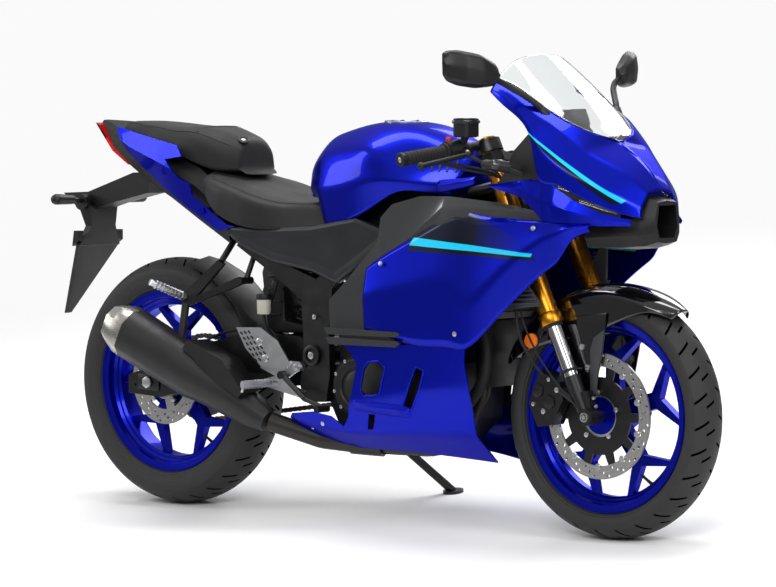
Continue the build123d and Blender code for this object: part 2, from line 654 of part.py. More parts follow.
def silencer_body(rows):
    """Eight-sided canister lofted along the silencer's axis."""
    front, rear = Vector(*SILENCER_FRONT), Vector(*SILENCER_REAR)
    along = (rear - front).normalized()
    sections = []
    for distance, half_height, half_width in rows:
        plane = Plane(origin=front + along * distance, x_dir=(0, -1, 0), z_dir=along)
        corners = [(0.45, 1), (1, 0.5), (1, -0.5), (0.45, -1), (-0.45, -1), (-1, -0.5), (-1, 0.5), (-0.45, 1)]
        ring = [plane.from_local_coords((u * half_width, v * half_height, 0)) for u, v in corners]
        sections.append([(p.X, p.Y, p.Z) for p in ring])
    return loft_sections(sections)


def build_silencer(pipes):
    """Silencer with its bright end cap and heat shield."""
    body = largest(silencer_body(SILENCER_ROWS) - pipes)
    cap = silencer_body(SILENCER_CAP_ROWS)
    front, rear = Vector(*SILENCER_FRONT), Vector(*SILENCER_REAR)
    along = (rear - front).normalized()
    outlet = Solid.make_cylinder(22, 80, Plane(origin=front + along * 480, z_dir=along))
    cap = (cap - outlet).solid()
    body = (body + rod(SILENCER_HANGER_LOW, SILENCER_HANGER_HIGH, 10)).solid()
    add("root", "silencer", body)
    add("root", "silencer_cap", cap)
    shield = side_prism([(186, 410), (204, 432), (318, 388), (385, 312), (372, 296), (300, 330)], -206, -136)
    clear = silencer_body([(d, h + 4, w + 4) for d, h, w in SILENCER_ROWS])
    shield = largest(shield - body - clear)
    feet = [rod((x, -176, z), (x, -176, z - 30), 6) for x, z in ((222, 416), (300, 384))]
    add("root", "silencer_heat_shield", largest(shield + feet - body))
    return body


def build_swingarm():
    """Box swingarm, rear axle, rear caliper and shock absorber."""
    cx, cz = REAR_AXLE
    right_arm = [(SWINGARM_PIVOT_X + 20, 380), (SWINGARM_PIVOT_X + 20, 430), (470, 448), (285, 446), (150, 412),
                 (62, 350), (-22, 346), (-70, 330), (-70, 284), (40, 278), (120, 296), (250, 348), (400, 352)]
    left_arm = [(480, 330), (480, 392), (285, 388), (150, 368), (62, 350), (-22, 346), (-70, 330), (-70, 284),
                (40, 278), (120, 284), (250, 300), (400, 318)]
    fork_end = [(62, 350), (-22, 346), (-70, 330), (-70, 284), (40, 278), (90, 290)]
    arm_outer = FRAME_INNER_Y - 1
    beam = side_prism(right_arm, -arm_outer, -SWINGARM_INNER_Y)
    beam += side_prism(fork_end, -FRAME_OUTER_Y, 1 - arm_outer)
    beam += rod((cx, -arm_outer, cz), (cx, -HUB_HALF_LENGTH - 26, cz), 18)
    beam += side_prism(left_arm, CHAIN_ARM_LOW_Y, CHAIN_ARM_HIGH_Y)
    beam += side_prism(fork_end, CHAIN_ARM_HIGH_Y - 2, FRAME_OUTER_Y)
    beam += side_prism([(470, 300), (470, 366), (400, 366), (400, 300)], 50, CHAIN_ARM_LOW_Y + 1)
    beam += side_prism([(480, 372), (480, 446), (372, 446), (372, 360)], 1 - SWINGARM_INNER_Y, 52)
    beam += side_prism([(480, 300), (500, 340), (SWINGARM_PIVOT_X, 380), (SWINGARM_PIVOT_X, 430), (480, 446),
                        (400, 446), (400, 300)], 30, 52)
    beam += rod((SWINGARM_PIVOT_X, -arm_outer + 1, SWINGARM_PIVOT_Z), (SWINGARM_PIVOT_X, 68, SWINGARM_PIVOT_Z), 27)
    beam -= rod((cx, -AXLE_END_Y, cz), (cx, AXLE_END_Y, cz), AXLE_RADIUS)
    beam -= rod((SWINGARM_PIVOT_X, -AXLE_END_Y, SWINGARM_PIVOT_Z), (SWINGARM_PIVOT_X, AXLE_END_Y, SWINGARM_PIVOT_Z),
                SWINGARM_PIVOT_RADIUS)
    for side in (-1, 1):
        beam -= rod((-46, side * (FRAME_OUTER_Y + 1), 306), (-46, side * (FRAME_OUTER_Y - STAND_BOBBIN_DEPTH), 306),
                    STAND_BOBBIN_RADIUS)
    beam = beam.solid()
    add("root", "swingarm", beam)
    axle = rod((cx, -AXLE_END_Y, cz), (cx, AXLE_END_Y, cz), AXLE_RADIUS)
    spacers = {-1: HUB_HALF_LENGTH + 26, 1: CHAIN_ARM_LOW_Y}
    for side in (-1, 1):
        axle += rod((cx, side * (HUB_HALF_LENGTH + RUNNING_CLEARANCE), cz), (cx, side * spacers[side], cz), 15)
        axle += rod((cx, side * FRAME_OUTER_Y, cz), (cx, side * AXLE_END_Y, cz), 15)
    add("root", "rear_axle", largest(axle - beam))
    face = REAR_DISC_FACE_Y
    outline = [(96, 400), (140, 372), (128, 312), (98, 302), (88, 330), (84, 376)]
    caliper = side_prism(outline, -SWINGARM_INNER_Y, face + 24)
    slot = rod((cx, face - PAD_GAP, cz), (cx, face + REAR_DISC_THICKNESS + PAD_GAP, cz), REAR_DISC_RADIUS + 6)
    wheel_space = ring_profile([(60, -57.5), (240, -57.5), (240, 61), (60, 61)], cx, cz)
    add("root", "rear_caliper", largest(caliper - slot - wheel_space - beam))
    shock = rod((412, 0, 442), (470, 0, 590), 30) + rod((400, 0, 430), (480, 0, 616), 12)
    shock += rod((480, -92, 616), (480, 92, 616), 12)
    for side in (-1, 1):
        shock += rod((480, side * 92, 616), (480, side * FRAME_INNER_Y, 580), 8)
    add("root", "shock_absorber", largest(shock - beam - nodes["main_frame"][0] - nodes["subframe"][0]))
    return beam


def build_chain(beam, frame, engine):
    """Drive chain as one closed loop round both sprockets, its front cover and its guard."""
    front = FRONT_SPROCKET
    r_rear, r_front = sprocket_radius(REAR_SPROCKET_TEETH), sprocket_radius(FRONT_SPROCKET_TEETH)
    dx, dz = front[0] - REAR_AXLE[0], front[1] - REAR_AXLE[1]
    tilt = degrees(atan2(dz, dx))
    swing = degrees(atan2(r_rear - r_front, hypot(dx, dz)))
    low_y = CHAIN_LINE_Y - CHAIN_WIDTH / 2
    high_y = CHAIN_LINE_Y + CHAIN_WIDTH / 2

    def belt(offset):
        """Loop's outline at this distance outside the pitch line."""
        def at(centre, radius, angle):
            x, z = polar(*centre, radius + offset, angle + tilt)
            return (x, low_y, z)

        top_rear, top_front = at(REAR_AXLE, r_rear, 90 - swing), at(front, r_front, 90 - swing)
        low_rear, low_front = at(REAR_AXLE, r_rear, swing - 90), at(front, r_front, swing - 90)
        edges = [Line(top_rear, top_front), ThreePointArc(top_front, at(front, r_front, 0), low_front),
                 Line(low_front, low_rear), ThreePointArc(low_rear, at(REAR_AXLE, r_rear, 180), top_rear)]
        return extrude(make_face(Curve() + edges), amount=CHAIN_WIDTH, dir=(0, 1, 0))

    loop = belt(CHAIN_HEIGHT / 2) - belt(-CHAIN_HEIGHT / 2)
    add("root", "drive_chain", loop.solid())
    cover = side_prism([(596, 284), (606, 392), (700, 402), (716, 330), (690, 274)], high_y + 2.5, FRAME_OUTER_Y - 4)
    post = rod((700, 68, 392), (700, high_y + 4, 392), 7) + rod((704, 68, 284), (704, high_y + 4, 284), 7)
    add("root", "front_sprocket_cover", largest(cover + post - frame - engine))
    guard = side_prism([(40, 448), (170, 466), (330, 420), (330, 410), (170, 456), (44, 438)], low_y, CHAIN_ARM_LOW_Y + 8)
    for x, top in ((120, 452), (260, 434)):
        guard += side_prism([(x, 340), (x + 16, 340), (x + 16, top), (x, top)], CHAIN_ARM_LOW_Y, CHAIN_ARM_LOW_Y + 8)
    add("root", "chain_guard", largest(guard - beam))


frame_solid = build_frame()
engine_solid, pipes_solid = build_engine(frame_solid)
silencer_solid = build_silencer(pipes_solid)
swingarm_solid = build_swingarm()
build_chain(swingarm_solid, frame_solid, engine_solid)


# ---------------------------------------------------------------- panels
# Tank stations. Columns: x, then (y, z) of the top, the crown, the shoulder, the flank and the hem.
TANK_ROWS = [
    (466, (0, 838), (16, 834), (26, 822), (30, 806), (24, 792)),
    (489, (0, 888), (34, 882), (58, 856), (66, 814), (52, 789)),
    (547, (0, 938), (56, 929), (102, 884), (116, 815), (100, 783)),
    (592, (0, 956), (66, 946), (122, 898), (138, 815), (124, 722)),
    (679, (0, 975), (76, 965), (144, 908), (156, 824), (142, 738)),
    (770, (0, 978), (84, 967), (162, 908), (171, 838), (150, 778)),
    (850, (0, 966), (88, 951), (144, 886), (170, 840), (160, 812)),
    (930, (0, 938), (76, 920), (116, 872), (157, 834), (150, 810)),
    (990, (0, 902), (64, 888), (98, 862), (146, 830), (144, 806)),
]
# Tank wings run forward outside the fork. Columns: x, top inner, top outer, flank, hem.
TANK_WING_ROWS = [
    (970, (141, 840), (146, 838), (154, 828), (150, 808)),
    (1040, (145, 848), (150, 846), (160, 838), (156, 824)),
    (1076, (147, 852), (150, 850), (154, 844), (150, 834)),
]
CAP_CENTRE_X = 742


def tank_top(x):
    """Height of the tank's ridge at this station."""
    for (x0, (_, z0), *_rest), (x1, (_, z1), *_more) in zip(TANK_ROWS, TANK_ROWS[1:]):
        if x0 <= x <= x1:
            return z0 + (z1 - z0) * (x - x0) / (x1 - x0)
    raise ValueError("outside the tank")


def build_tank():
    """Fuel tank with its hinged filler cap."""
    tank = closed_hull([(x, line) for x, *line in TANK_ROWS])
    for wing in both_sides(loft_sections([[(x, y, z) for y, z in line] for x, *line in TANK_WING_ROWS])):
        tank += wing
    top = tank_top(CAP_CENTRE_X)
    pocket = rod((CAP_CENTRE_X, 0, top - CAP_THICKNESS + 1), (CAP_CENTRE_X, 0, top + 30), CAP_RADIUS + 2)
    floor_z = top - CAP_THICKNESS + 1
    tank = (tank - pocket).solid()
    cap = rod((CAP_CENTRE_X, 0, floor_z + SEAT_GAP), (CAP_CENTRE_X, 0, floor_z + SEAT_GAP + CAP_THICKNESS), CAP_RADIUS)
    hinge_z = floor_z + SEAT_GAP + CAP_THICKNESS
    hinge = (CAP_CENTRE_X + CAP_RADIUS - 2, 0, hinge_z)
    add("fuel_cap", "filler_cap", cap)
    return tank, hinge


# Rider's seat. Columns: x, then (y, z) of the top, the crown, the edge and the hem.
RIDER_SEAT_ROWS = [
    (176, (0, 852), (70, 850), (112, 832), (116, 812)),
    (222, (0, 842), (92, 840), (140, 818), (146, 772)),
    (276, (0, 826), (104, 826), (152, 806), (158, 740)),
    (350, (0, 800), (106, 801), (158, 786), (164, 720)),
    (427, (0, 781), (92, 782), (142, 770), (156, 714)),
    (500, (0, 776), (66, 777), (112, 768), (140, 714)),
    (576, (0, 768), (48, 768), (88, 760), (118, 722)),
]
PILLION_SEAT_ROWS = [
    (-160, (0, 970), (22, 970), (40, 962), (44, 950)),
    (-60, (0, 973), (58, 971), (82, 956), (92, 930)),
    (60, (0, 962), (70, 961), (100, 938), (112, 902)),
    (132, (0, 962), (66, 960), (102, 930), (112, 878)),
    (205, (0, 944), (54, 940), (90, 905), (98, 856)),
    (252, (0, 920), (40, 914), (64, 890), (70, 856)),
]
# Inner tail. Columns: x, then (y, z) of the top, the shoulder, the side and the floor.
TAIL_CORE_ROWS = [
    (-262, (0, 977), (14, 976), (20, 969), (12, 962)),
    (-205, (0, 975), (50, 972), (60, 955), (38, 908)),
    (-140, (0, 952), (72, 950), (84, 935), (46, 862)),
    (-60, (0, 935), (84, 932), (100, 905), (56, 818)),
    (30, (0, 905), (94, 902), (114, 862), (74, 782)),
    (150, (0, 862), (98, 858), (120, 815), (96, 726)),
    (262, (0, 800), (112, 790), (126, 745), (110, 672)),
]


def build_seats_and_tail():
    """Seats, inner tail, blue tail panels, lamp and number plate bracket."""
    core = closed_hull([(x, line) for x, *line in TAIL_CORE_ROWS])
    rider_space = closed_hull([(x, [(y, z) for y, z in line] + [(line[-1][0] - 30, line[-1][1] - 30)])
                               for x, *line in RIDER_SEAT_ROWS])
    rider = closed_hull([(x, line) for x, *line in RIDER_SEAT_ROWS])
    pillion = closed_hull([(x, line) for x, *line in PILLION_SEAT_ROWS])
    core = largest(core - rider_space - pillion)
    pillion = largest(pillion - core - rider)
    core_hollow = closed_hull([(x, [(max(y - 5, 0), z - 8) for y, z in line[:2]] + [(y - 6, z) for y, z in line[2:3]]
                                + [(line[3][0] - 5, line[3][1] + 5)]) for x, *line in TAIL_CORE_ROWS[1:]])
    rails = nodes["subframe"][0]
    core_shell = largest(core - core_hollow - rails)
    add("root", "tail_inner", core_shell)
    add("root", "pillion_seat", pillion)
    # columns: x, then (y, z) of the top, the crease and the lower edge
    panel_rows = [
        (-165, (78, 968), (86, 940), (62, 872)),
        (-70, (100, 950), (112, 905), (84, 842)),
        (30, (122, 935), (134, 876), (104, 796)),
        (130, (136, 918), (148, 842), (122, 726)),
        (230, (142, 860), (154, 772), (134, 686)),
        (326, (146, 800), (157, 722), (142, 676)),
    ]
    outline = [(-150, 960), (102, 916), (124, 888), (63, 880), (112, 836), (161, 819), (164, 792), (287, 720),
               (318, 716), (251, 704), (27, 814), (-71, 876), (-104, 898)]
    panel = skin([(x, line) for x, *line in panel_rows], PANEL_WALL)
    panel = largest(panel & side_prism(outline, 40, 200))
    boss_high = rod((-60, 60, 915), (-60, 106, 915), 9) + rod((60, 60, 850), (60, 134, 850), 9)
    boss_low = rod((200, 80, 752), (200, 148, 752), 9)
    panel = largest(panel + boss_high + boss_low - core - rider - pillion)
    add("root", "tail_panels", both_sides(panel))
    add("root", "rider_seat", rider)
    lamp = side_prism([(-272, 969), (-262, 964), (-205, 905), (-150, 866), (-158, 862), (-214, 898)], -34, 34)
    lamp = largest(lamp - core)
    add("root", "tail_lamp", lamp)
    return core, rider, pillion


def build_plate_bracket(core):
    """Arm from the tail, plate carrier, rear indicators."""
    arm = side_prism([(-80, 838), (-140, 842), (-300, 790), (-388, 786), (-330, 742), (-290, 742), (-220, 762), (-90, 790)],
                     -34, 34)
    arm -= core
    hub = rod((-300, -62, 764), (-300, 62, 764), 21)
    neck = loft_sections([[(-276, -52, 756), (-276, 52, 756), (-318, 52, 756), (-318, -52, 756)],
                          [(-276, -44, 702), (-276, 44, 702), (-300, 44, 702), (-300, -44, 702)],
                          [(-292, -76, 652), (-292, 76, 652), (-304, 76, 646), (-304, -76, 646)]])
    blade = loft_sections([[(-292, -76, 656), (-292, 76, 656), (-304, 76, 650), (-304, -76, 650)],
                           [(-402, -9, 472), (-402, 9, 472), (-411, 9, 470), (-411, -9, 470)]])
    reflector = side_prism([(-288, 664), (-288, 690), (-304, 690), (-310, 650)], 66, 84)
    bracket = largest(arm + hub + neck + blade + both_sides(reflector))
    add("root", "plate_bracket", bracket)
    stalks = []
    for side in (-1, 1):
        stalk = rod((-300, side * 62, 768), (-296, side * 100, 771), 7)
        lamp = rod((-295, side * 98, 771), (-291, side * 160, 773), 12, 14) + Solid.make_sphere(
            14, Plane(origin=(-291, side * 160, 773)))
        stalks.append(largest(stalk + lamp - bracket))
    add("root", "rear_indicators", stalks)


tank_solid, CAP_HINGE = build_tank()
tail_solid, rider_solid, pillion_solid = build_seats_and_tail()
build_plate_bracket(tail_solid)
add("root", "fuel_tank", largest(tank_solid - rider_solid - frame_solid))


# Nose cowl, left half. Columns: x, then (y, z) of the screen edge or ridge, the upper crease,
# the stripe crease and the lower edge.
UPPER_COWL_ROWS = [
    (1136, (146, 1082), (158, 1066), (164, 1060), (168, 1052)),
    (1200, (146, 1062), (170, 1046), (182, 1030), (184, 1012)),
    (1270, (136, 1018), (168, 1000), (190, 972), (192, 955)),
    (1300, (129, 1000), (164, 982), (194, 925), (198, 855)),
    (1342, (108, 974), (150, 950), (188, 890), (190, 838)),
    (1378, (60, 952), (134, 922), (176, 866), (178, 822)),
    (1396, (0, 934), (122, 908), (168, 856), (170, 812)),
    (1440, (0, 904), (92, 880), (142, 832), (146, 790)),
    (1480, (0, 868), (66, 850), (108, 804), (112, 770)),
    (1510, (0, 826), (44, 818), (70, 784), (74, 760)),
]
# Windscreen at the cowl's own stations. Columns: x, ridge z, then (y, z) of the bend.
SCREEN_ROWS = [
    (1136, 1168, (96, 1144)),
    (1200, 1115, (96, 1098)),
    (1270, 1050, (90, 1043)),
    (1300, 1022, (86, 1017)),
    (1342, 985, (72, 983)),
    (1378, 955, (40, 955)),
]
SCREEN_TIP_X = 1394
# Side view of the screen: its rear edge leans back.
SCREEN_OUTLINE = [(1096, 1025), (1140, 1098), (1169, 1146), (1190, 1180), (1420, 1180), (1420, 900), (1096, 900)]
# Main side panel. Columns: x, then (y, z) of the top, the waist and the lower edge.
SIDE_PANEL_ROWS = [
    (772, (190, 626), (203, 560), (198, 480)),
    (830, (188, 663), (207, 575), (203, 472)),
    (940, (184, 719), (211, 595), (204, 458)),
    (1040, (178, 767), (213, 605), (204, 455)),
    (1100, (182, 763), (213, 560), (198, 456)),
    (1200, (188, 757), (214, 632), (194, 540)),
    (1310, (194, 751), (210, 706), (192, 628)),
    (1354, (190, 748), (204, 724), (188, 660)),
    (1390, (182, 746), (196, 736), (182, 709)),
    (1430, (168, 744), (178, 739), (166, 728)),
]
# Spear under the headlamps. Columns: x, then (y, z) of the top, the crease and the lower edge.
NOSE_SIDE_ROWS = [
    (1131, (166, 834), (168, 831), (166, 828)),
    (1243, (182, 846), (188, 826), (184, 806)),
    (1312, (192, 850), (200, 800), (194, 753)),
    (1340, (190, 834), (200, 790), (192, 750)),
    (1390, (176, 800), (186, 776), (180, 748)),
    (1446, (146, 772), (156, 758), (150, 742)),
    (1498, (98, 756), (104, 750), (98, 742)),
]
# Lower cowl. Columns: x, then (y, z) of the top, the shoulder, the ridge and the keel.
LOWER_COWL_ROWS = [
    (480, (172, 446), (160, 300), (140, 246), (100, 182)),
    (700, (184, 446), (180, 300), (162, 226), (98, 182)),
    (900, (202, 450), (196, 330), (172, 236), (90, 178)),
    (1060, (203, 452), (190, 340), (146, 236), (50, 164)),
    (1110, (196, 452), (178, 340), (120, 236), (30, 158)),
]
LOWER_COWL_OUTLINE = [
    (489, 250), (500, 262), (576, 270), (640, 262), (680, 238), (700, 262), (716, 312), (738, 384), (736, 398),
    (716, 424), (690, 440), (800, 446), (890, 447), (1000, 452), (1086, 454), (1080, 414), (1087, 349), (1080, 281),
    (1064, 150), (930, 140), (690, 140), (598, 176),
]
COWL_WINDOW = [(772, 396), (800, 400), (812, 388), (792, 322), (748, 320), (742, 334), (756, 384)]
COWL_SLOT = [(930, 388), (944, 384), (900, 292), (886, 296)]
# Black trim inside the side panel. Columns: x, then (y, z) of the top, the waist and the lower edge.
SIDE_TRIM_ROWS = [
    (640, (174, 800), (180, 560), (178, 440)),
    (820, (170, 800), (188, 640), (188, 470)),
    (1000, (166, 812), (178, 780), (190, 690)),
    (1180, (168, 812), (180, 775), (184, 740)),
    (1345, (184, 790), (188, 768), (184, 745)),
]
SIDE_TRIM_OUTLINE = [
    (648, 470), (646, 546), (700, 592), (800, 690), (806, 750), (838, 782), (924, 803), (1016, 804), (1167, 792),
    (1300, 773), (1330, 764), (1318, 748), (1160, 752), (1040, 756), (944, 708), (836, 650), (784, 612), (792, 470),
]


def cowl_edge(x):
    """Outer and inner (y, z) corner of the cowl's upper edge at this station."""
    ends = []
    for x_row, *line in UPPER_COWL_ROWS:
        ends.append((x_row, line[0], wall_points(line, PANEL_WALL)[0]))
    for (x0, outer0, inner0), (x1, outer1, inner1) in zip(ends, ends[1:]):
        if x0 <= x <= x1:
            part = (x - x0) / (x1 - x0)
            return [(a[0] + part * (b[0] - a[0]), a[1] + part * (b[1] - a[1]))
                    for a, b in ((outer0, outer1), (inner0, inner1))]
    raise ValueError("outside the cowl")


def build_screen():
    """Clear screen whose lower edge meets the cowl's edge face to face."""
    tip_y, tip_z = cowl_edge(SCREEN_TIP_X)[0]
    rows = SCREEN_ROWS + [(SCREEN_TIP_X, tip_z + 0.6, (tip_y / 2, tip_z + 0.4))]
    sections = []
    for x, ridge_z, bend in rows:
        outer_edge, inner_edge = cowl_edge(x)
        line = [(0, ridge_z), bend, outer_edge]
        inner = wall_points(line, SCREEN_WALL)[:2] + [inner_edge]
        top = line[::-1] + [(-y, z) for y, z in line[1:]]
        low = inner[::-1] + [(-y, z) for y, z in inner[1:]]
        sections.append([(x, y, z) for y, z in top + low[::-1]])
    return largest(loft_sections(sections) & side_prism(SCREEN_OUTLINE, -200, 200))


def build_fairing(frame, engine, pipes):
    """Cowls, side panels, trims, windscreen and headlamps."""
    cowl = skin([(x, line) for x, *line in UPPER_COWL_ROWS], PANEL_WALL)
    cowl_full = cowl + cowl.mirror(Plane.XZ)
    screen = build_screen()
    add("root", "windscreen", screen)

    panel = skin([(x, line) for x, *line in SIDE_PANEL_ROWS], PANEL_WALL)
    spear = skin([(x, line) for x, *line in NOSE_SIDE_ROWS], PANEL_WALL)
    lower = skin([(x, line) for x, *line in LOWER_COWL_ROWS], PANEL_WALL)
    lower = lower & side_prism(LOWER_COWL_OUTLINE, 0, 260)
    lower = largest(lower - side_prism(COWL_WINDOW, 0, 260) - side_prism(COWL_SLOT, 0, 260))
    trim = skin([(x, line) for x, *line in SIDE_TRIM_ROWS], PANEL_WALL)
    trim = largest(trim & side_prism(SIDE_TRIM_OUTLINE, 100, 240))

    panel = largest(panel + rod((1372, 188, 737), (1372, 170, 764), 7) - spear - lower)
    bosses = [rod((850, 170, 600), (850, 206, 600), 10), rod((1000, 150, 700), (1000, 200, 700), 10)]
    panel = largest(panel + bosses - trim)
    trim = largest(trim + rod((700, 120, 560), (700, 182, 560), 10) + rod((900, 120, 760), (900, 172, 760), 10) - frame)
    lower = largest(lower + rod((760, 96, 300), (760, 184, 300), 10) + rod((960, 96, 300), (960, 196, 300), 10)
                    + rod((640, 90, 250), (640, 150, 250), 9) - engine)
    add("root", "side_panels", both_sides(panel))
    add("root", "nose_side_panels", both_sides(spear))
    left_lower = largest(lower - side_prism([(400, 100), (LEFT_COWL_REAR_X, 100), (LEFT_COWL_REAR_X, 500), (400, 500)],
                                            0, 260))
    right_lower = largest(lower.mirror(Plane.XZ) - engine - pipes)
    add("root", "lower_cowls", left_lower, right_lower)
    blades = side_prism([(680, 478), (860, 476), (860, 446), (690, 446)], 176, 190)
    for rear_x, top, low in ((654, 481, 465), (660, 459, 441)):
        blades += side_prism([(rear_x, top), (884, top - 3), (892, (top + low) / 2), (880, low), (rear_x + 12, low)],
                             182, 210)
    trim = largest(trim + blades - panel - lower - engine)
    add("root", "side_trims", both_sides(trim))

    return cowl_full, screen, spear, trim, panel


# Nose duct, half outlines of (y, z) from the top to the bottom at each station.
NOSE_DUCT_ROWS = [
    (1372, [(0, 760), (60, 758), (108, 742), (112, 712), (90, 690), (0, 684)]),
    (1440, [(0, 810), (44, 806), (84, 756), (88, 716), (66, 690), (0, 684)]),
    (1500, [(0, 812), (42, 808), (62, 762), (62, 720), (46, 694), (0, 688)]),
    (1530, [(0, 800), (36, 796), (48, 762), (48, 724), (38, 704), (0, 700)]),
]


def build_nose(cowl, spear, screen):
    """Centre intake, headlamps, inner cowl, stay, instruments, mirrors and front indicators."""
    duct = closed_hull(NOSE_DUCT_ROWS)
    mouth = loft_sections([[(1560, -34, 790), (1560, 34, 790), (1560, 42, 740), (1560, 32, 712), (1560, -32, 712),
                            (1560, -42, 740)],
                           [(1420, -26, 786), (1420, 26, 786), (1420, 34, 744), (1420, 26, 716), (1420, -26, 716),
                            (1420, -34, 744)]])
    spears = both_sides(spear)
    duct = largest(duct - mouth - cowl - spears[0] - spears[1])
    add("root", "nose_duct", duct)
    # Headlamp: outer line under the cowl and above the spear. Columns: x, y, top z, low z.
    lamp_rows = [(1326, 186, 846, 842), (1362, 176, 832, 806), (1420, 148, 804, 776), (1476, 104, 776, 758)]
    sections = [[(x, y + 5, top), (x, y + 5, low - 3), (x - 16, y - 34, low - 3), (x - 16, y - 34, top)]
                for x, y, top, low in lamp_rows]
    lamp = largest(loft_sections(sections) - cowl - spear - duct)
    add("root", "headlamps", both_sides(lamp))
    head = nodes["main_frame"][0]
    stay = rod((1104, 0, 822), (1222, 0, 862), 11)
    for side in (-1, 1):
        stay += rod((1218, 0, 861), (1300, side * 70, 900), 8)
        stay += rod((1296, side * 68, 898), (1284, side * 154, 1002), 8)
        stay += rod((1296, side * 68, 898), (1400, side * 50, 770), 7)
    stay += rod((1296, -68, 898), (1296, 68, 898), 8)
    stay = largest(stay - head - cowl - screen - duct)
    add("root", "fairing_stay", stay)
    dial = side_prism([(1206, 1000), (1232, 1010), (1262, 940), (1238, 930)], -76, 76)
    dial += rod((1250, -30, 935), (1294, -30, 898), 7) + rod((1250, 30, 935), (1294, 30, 898), 7)
    dial = largest(dial - stay - screen)
    add("root", "instrument_panel", dial)
    plate = side_prism([(1270, 958), (1299, 862), (1300, 852), (1240, 846), (1150, 834), (1170, 850), (1214, 915)], 150, 190)
    plate &= loft_sections([[(1130, 152, 700), (1130, 160, 700), (1310, 197, 700), (1310, 189, 700)],
                            [(1130, 152, 1000), (1130, 160, 1000), (1310, 197, 1000), (1310, 189, 1000)]])
    plate = largest(plate - cowl - spear)
    add("root", "inner_cowls", both_sides(plate))
    mirror = rod((1279, 139, 994), (1272, 146, 1014), 15, 12) + rod((1273, 146, 1010), (1222, 200, 1064), 8, 10)
    mirror += rod((1222, 200, 1064), (1206, 250, 1084), 11, 13)
    # columns: y, front x, rear x, top z, low z
    shell_rows = [(236, 1228, 1196, 1116, 1066), (290, 1220, 1180, 1142, 1062), (344, 1188, 1154, 1150, 1076),
                  (365, 1160, 1146, 1142, 1110)]
    mirror += loft_sections([[(front, y, top - 4), (front - 2, y, low + 6), (rear + 4, y, low), (rear, y, top)]
                             for y, front, rear, top, low in shell_rows])
    add("root", "mirrors", both_sides(largest(mirror - cowl - screen - stay)))
    lamp = rod((1262, 158, 850), (1206, 216, 880), 8) + rod((1218, 204, 877), (1190, 252, 883), 14, 12)
    lamp += Solid.make_sphere(12, Plane(origin=(1190, 252, 883)))
    add("root", "front_indicators", both_sides(largest(lamp - spear - plate)))
    add("root", "upper_cowl", largest(cowl))


def build_covers(frame, rider, tank, engine, swingarm, trim):
    """Frame covers, footrests, pedals, rear mudguard and small tanks."""
    outline = [(282, 700), (300, 716), (440, 716), (560, 722), (700, 745), (800, 716), (794, 680), (700, 620),
               (640, 585), (560, 612), (430, 632), (330, 668)]
    cover = side_prism(outline, FRAME_OUTER_Y, FRAME_OUTER_Y + 26)
    cover = largest(cover - rider - tank - trim - nodes["tail_panels"][0])
    cover = largest(cover + side_prism([(560, 600), (560, 700), (700, 700), (640, 600)], FRAME_OUTER_Y - 14,
                                       FRAME_OUTER_Y + 4) - frame - nodes["subframe"][0] - tank - rider)
    add("root", "frame_covers", both_sides(cover))
    plates = [(316, 466), (396, 468), (452, 438), (492, 384), (478, 368), (400, 370), (346, 416)]
    heel = side_prism(plates, 144, 149)
    bracket = side_prism([(520, 388), (400, 392), (392, 368), (440, 350), (400, 340), (412, 322), (520, 300),
                          (530, 316), (470, 340), (530, 376)], 136, 144)
    post = rod((512, FRAME_OUTER_Y, 375), (512, 144, 375), 10) + rod((515, FRAME_OUTER_Y, 311), (515, 144, 311), 10)
    peg = rod((440, 140, 334), (410, 232, 331), 9, 10) + rod((410, 226, 331), (408, 232, 312), 3)
    hanger = largest(heel + bracket + post + peg - frame)
    add("root", "rider_footrests", both_sides(hanger))
    arm = side_prism([(262, 632), (280, 622), (190, 540), (330, 592), (336, 572), (160, 514), (140, 524), (146, 548)],
                     146, 156)
    lug_high = rod((268, 88, 694), (268, 150, 628), 8)
    lug_front = rod((332, 110, 582), (332, 156, 582), 9)
    peg = rod((152, 150, 534), (120, 250, 576), 10, 8)
    pillion = arm + lug_high + rod((332, 89, 662), (332, 130, 582), 7) + lug_front + peg
    pillion = largest(pillion - nodes["subframe"][0] - cover - nodes["tail_inner"][0])
    left, right = both_sides(pillion)
    right = largest(right - nodes["silencer"][0])
    add("root", "pillion_footrests", left, right)
    shift = rod((470, 144, 354), (470, 160, 354), 10) + rod((470, 150, 354), (560, 168, 310), 6)
    shift += rod((560, 168, 310), (632, 174, 318), 6) + rod((632, 166, 318), (632, 212, 318), 8)
    brake = rod((470, -144, 354), (470, -160, 354), 10) + rod((470, -150, 354), (560, -170, 300), 7)
    brake += rod((560, -170, 300), (632, -176, 280), 6) + rod((632, -168, 280), (632, -212, 280), 8)
    left_rest, right_rest = nodes["rider_footrests"]
    add("root", "foot_pedals", largest(shift - left_rest), largest(brake - right_rest))
    sections = []
    crown, wall = REAR_TYRE_RADIUS + 14, 4
    for angle in (22, 40, 58, 74):
        ring = [(-70, crown - 16), (0, crown), (70, crown - 16), (70, crown + wall - 16), (0, crown + wall),
                (-70, crown + wall - 16)]
        section = []
        for y, radius in ring:
            x, z = polar(*REAR_AXLE, radius, angle)
            section.append((x, y, z))
        sections.append(section)
    mudguard = loft_sections(sections)
    for side in (-1, 1):
        mudguard += rod((378, side * 40, 440), (290, side * 40, 462), 8)
    add("root", "rear_mudguard", largest(mudguard - swingarm - nodes["shock_absorber"][0]))


cowl_solid, screen_solid, spear_solid, trim_solid, panel_solid = build_fairing(
    frame_solid, engine_solid, pipes_solid)
build_nose(cowl_solid, spear_solid, screen_solid)
build_covers(frame_solid, rider_solid, nodes["fuel_tank"][0], engine_solid, swingarm_solid, trim_solid)


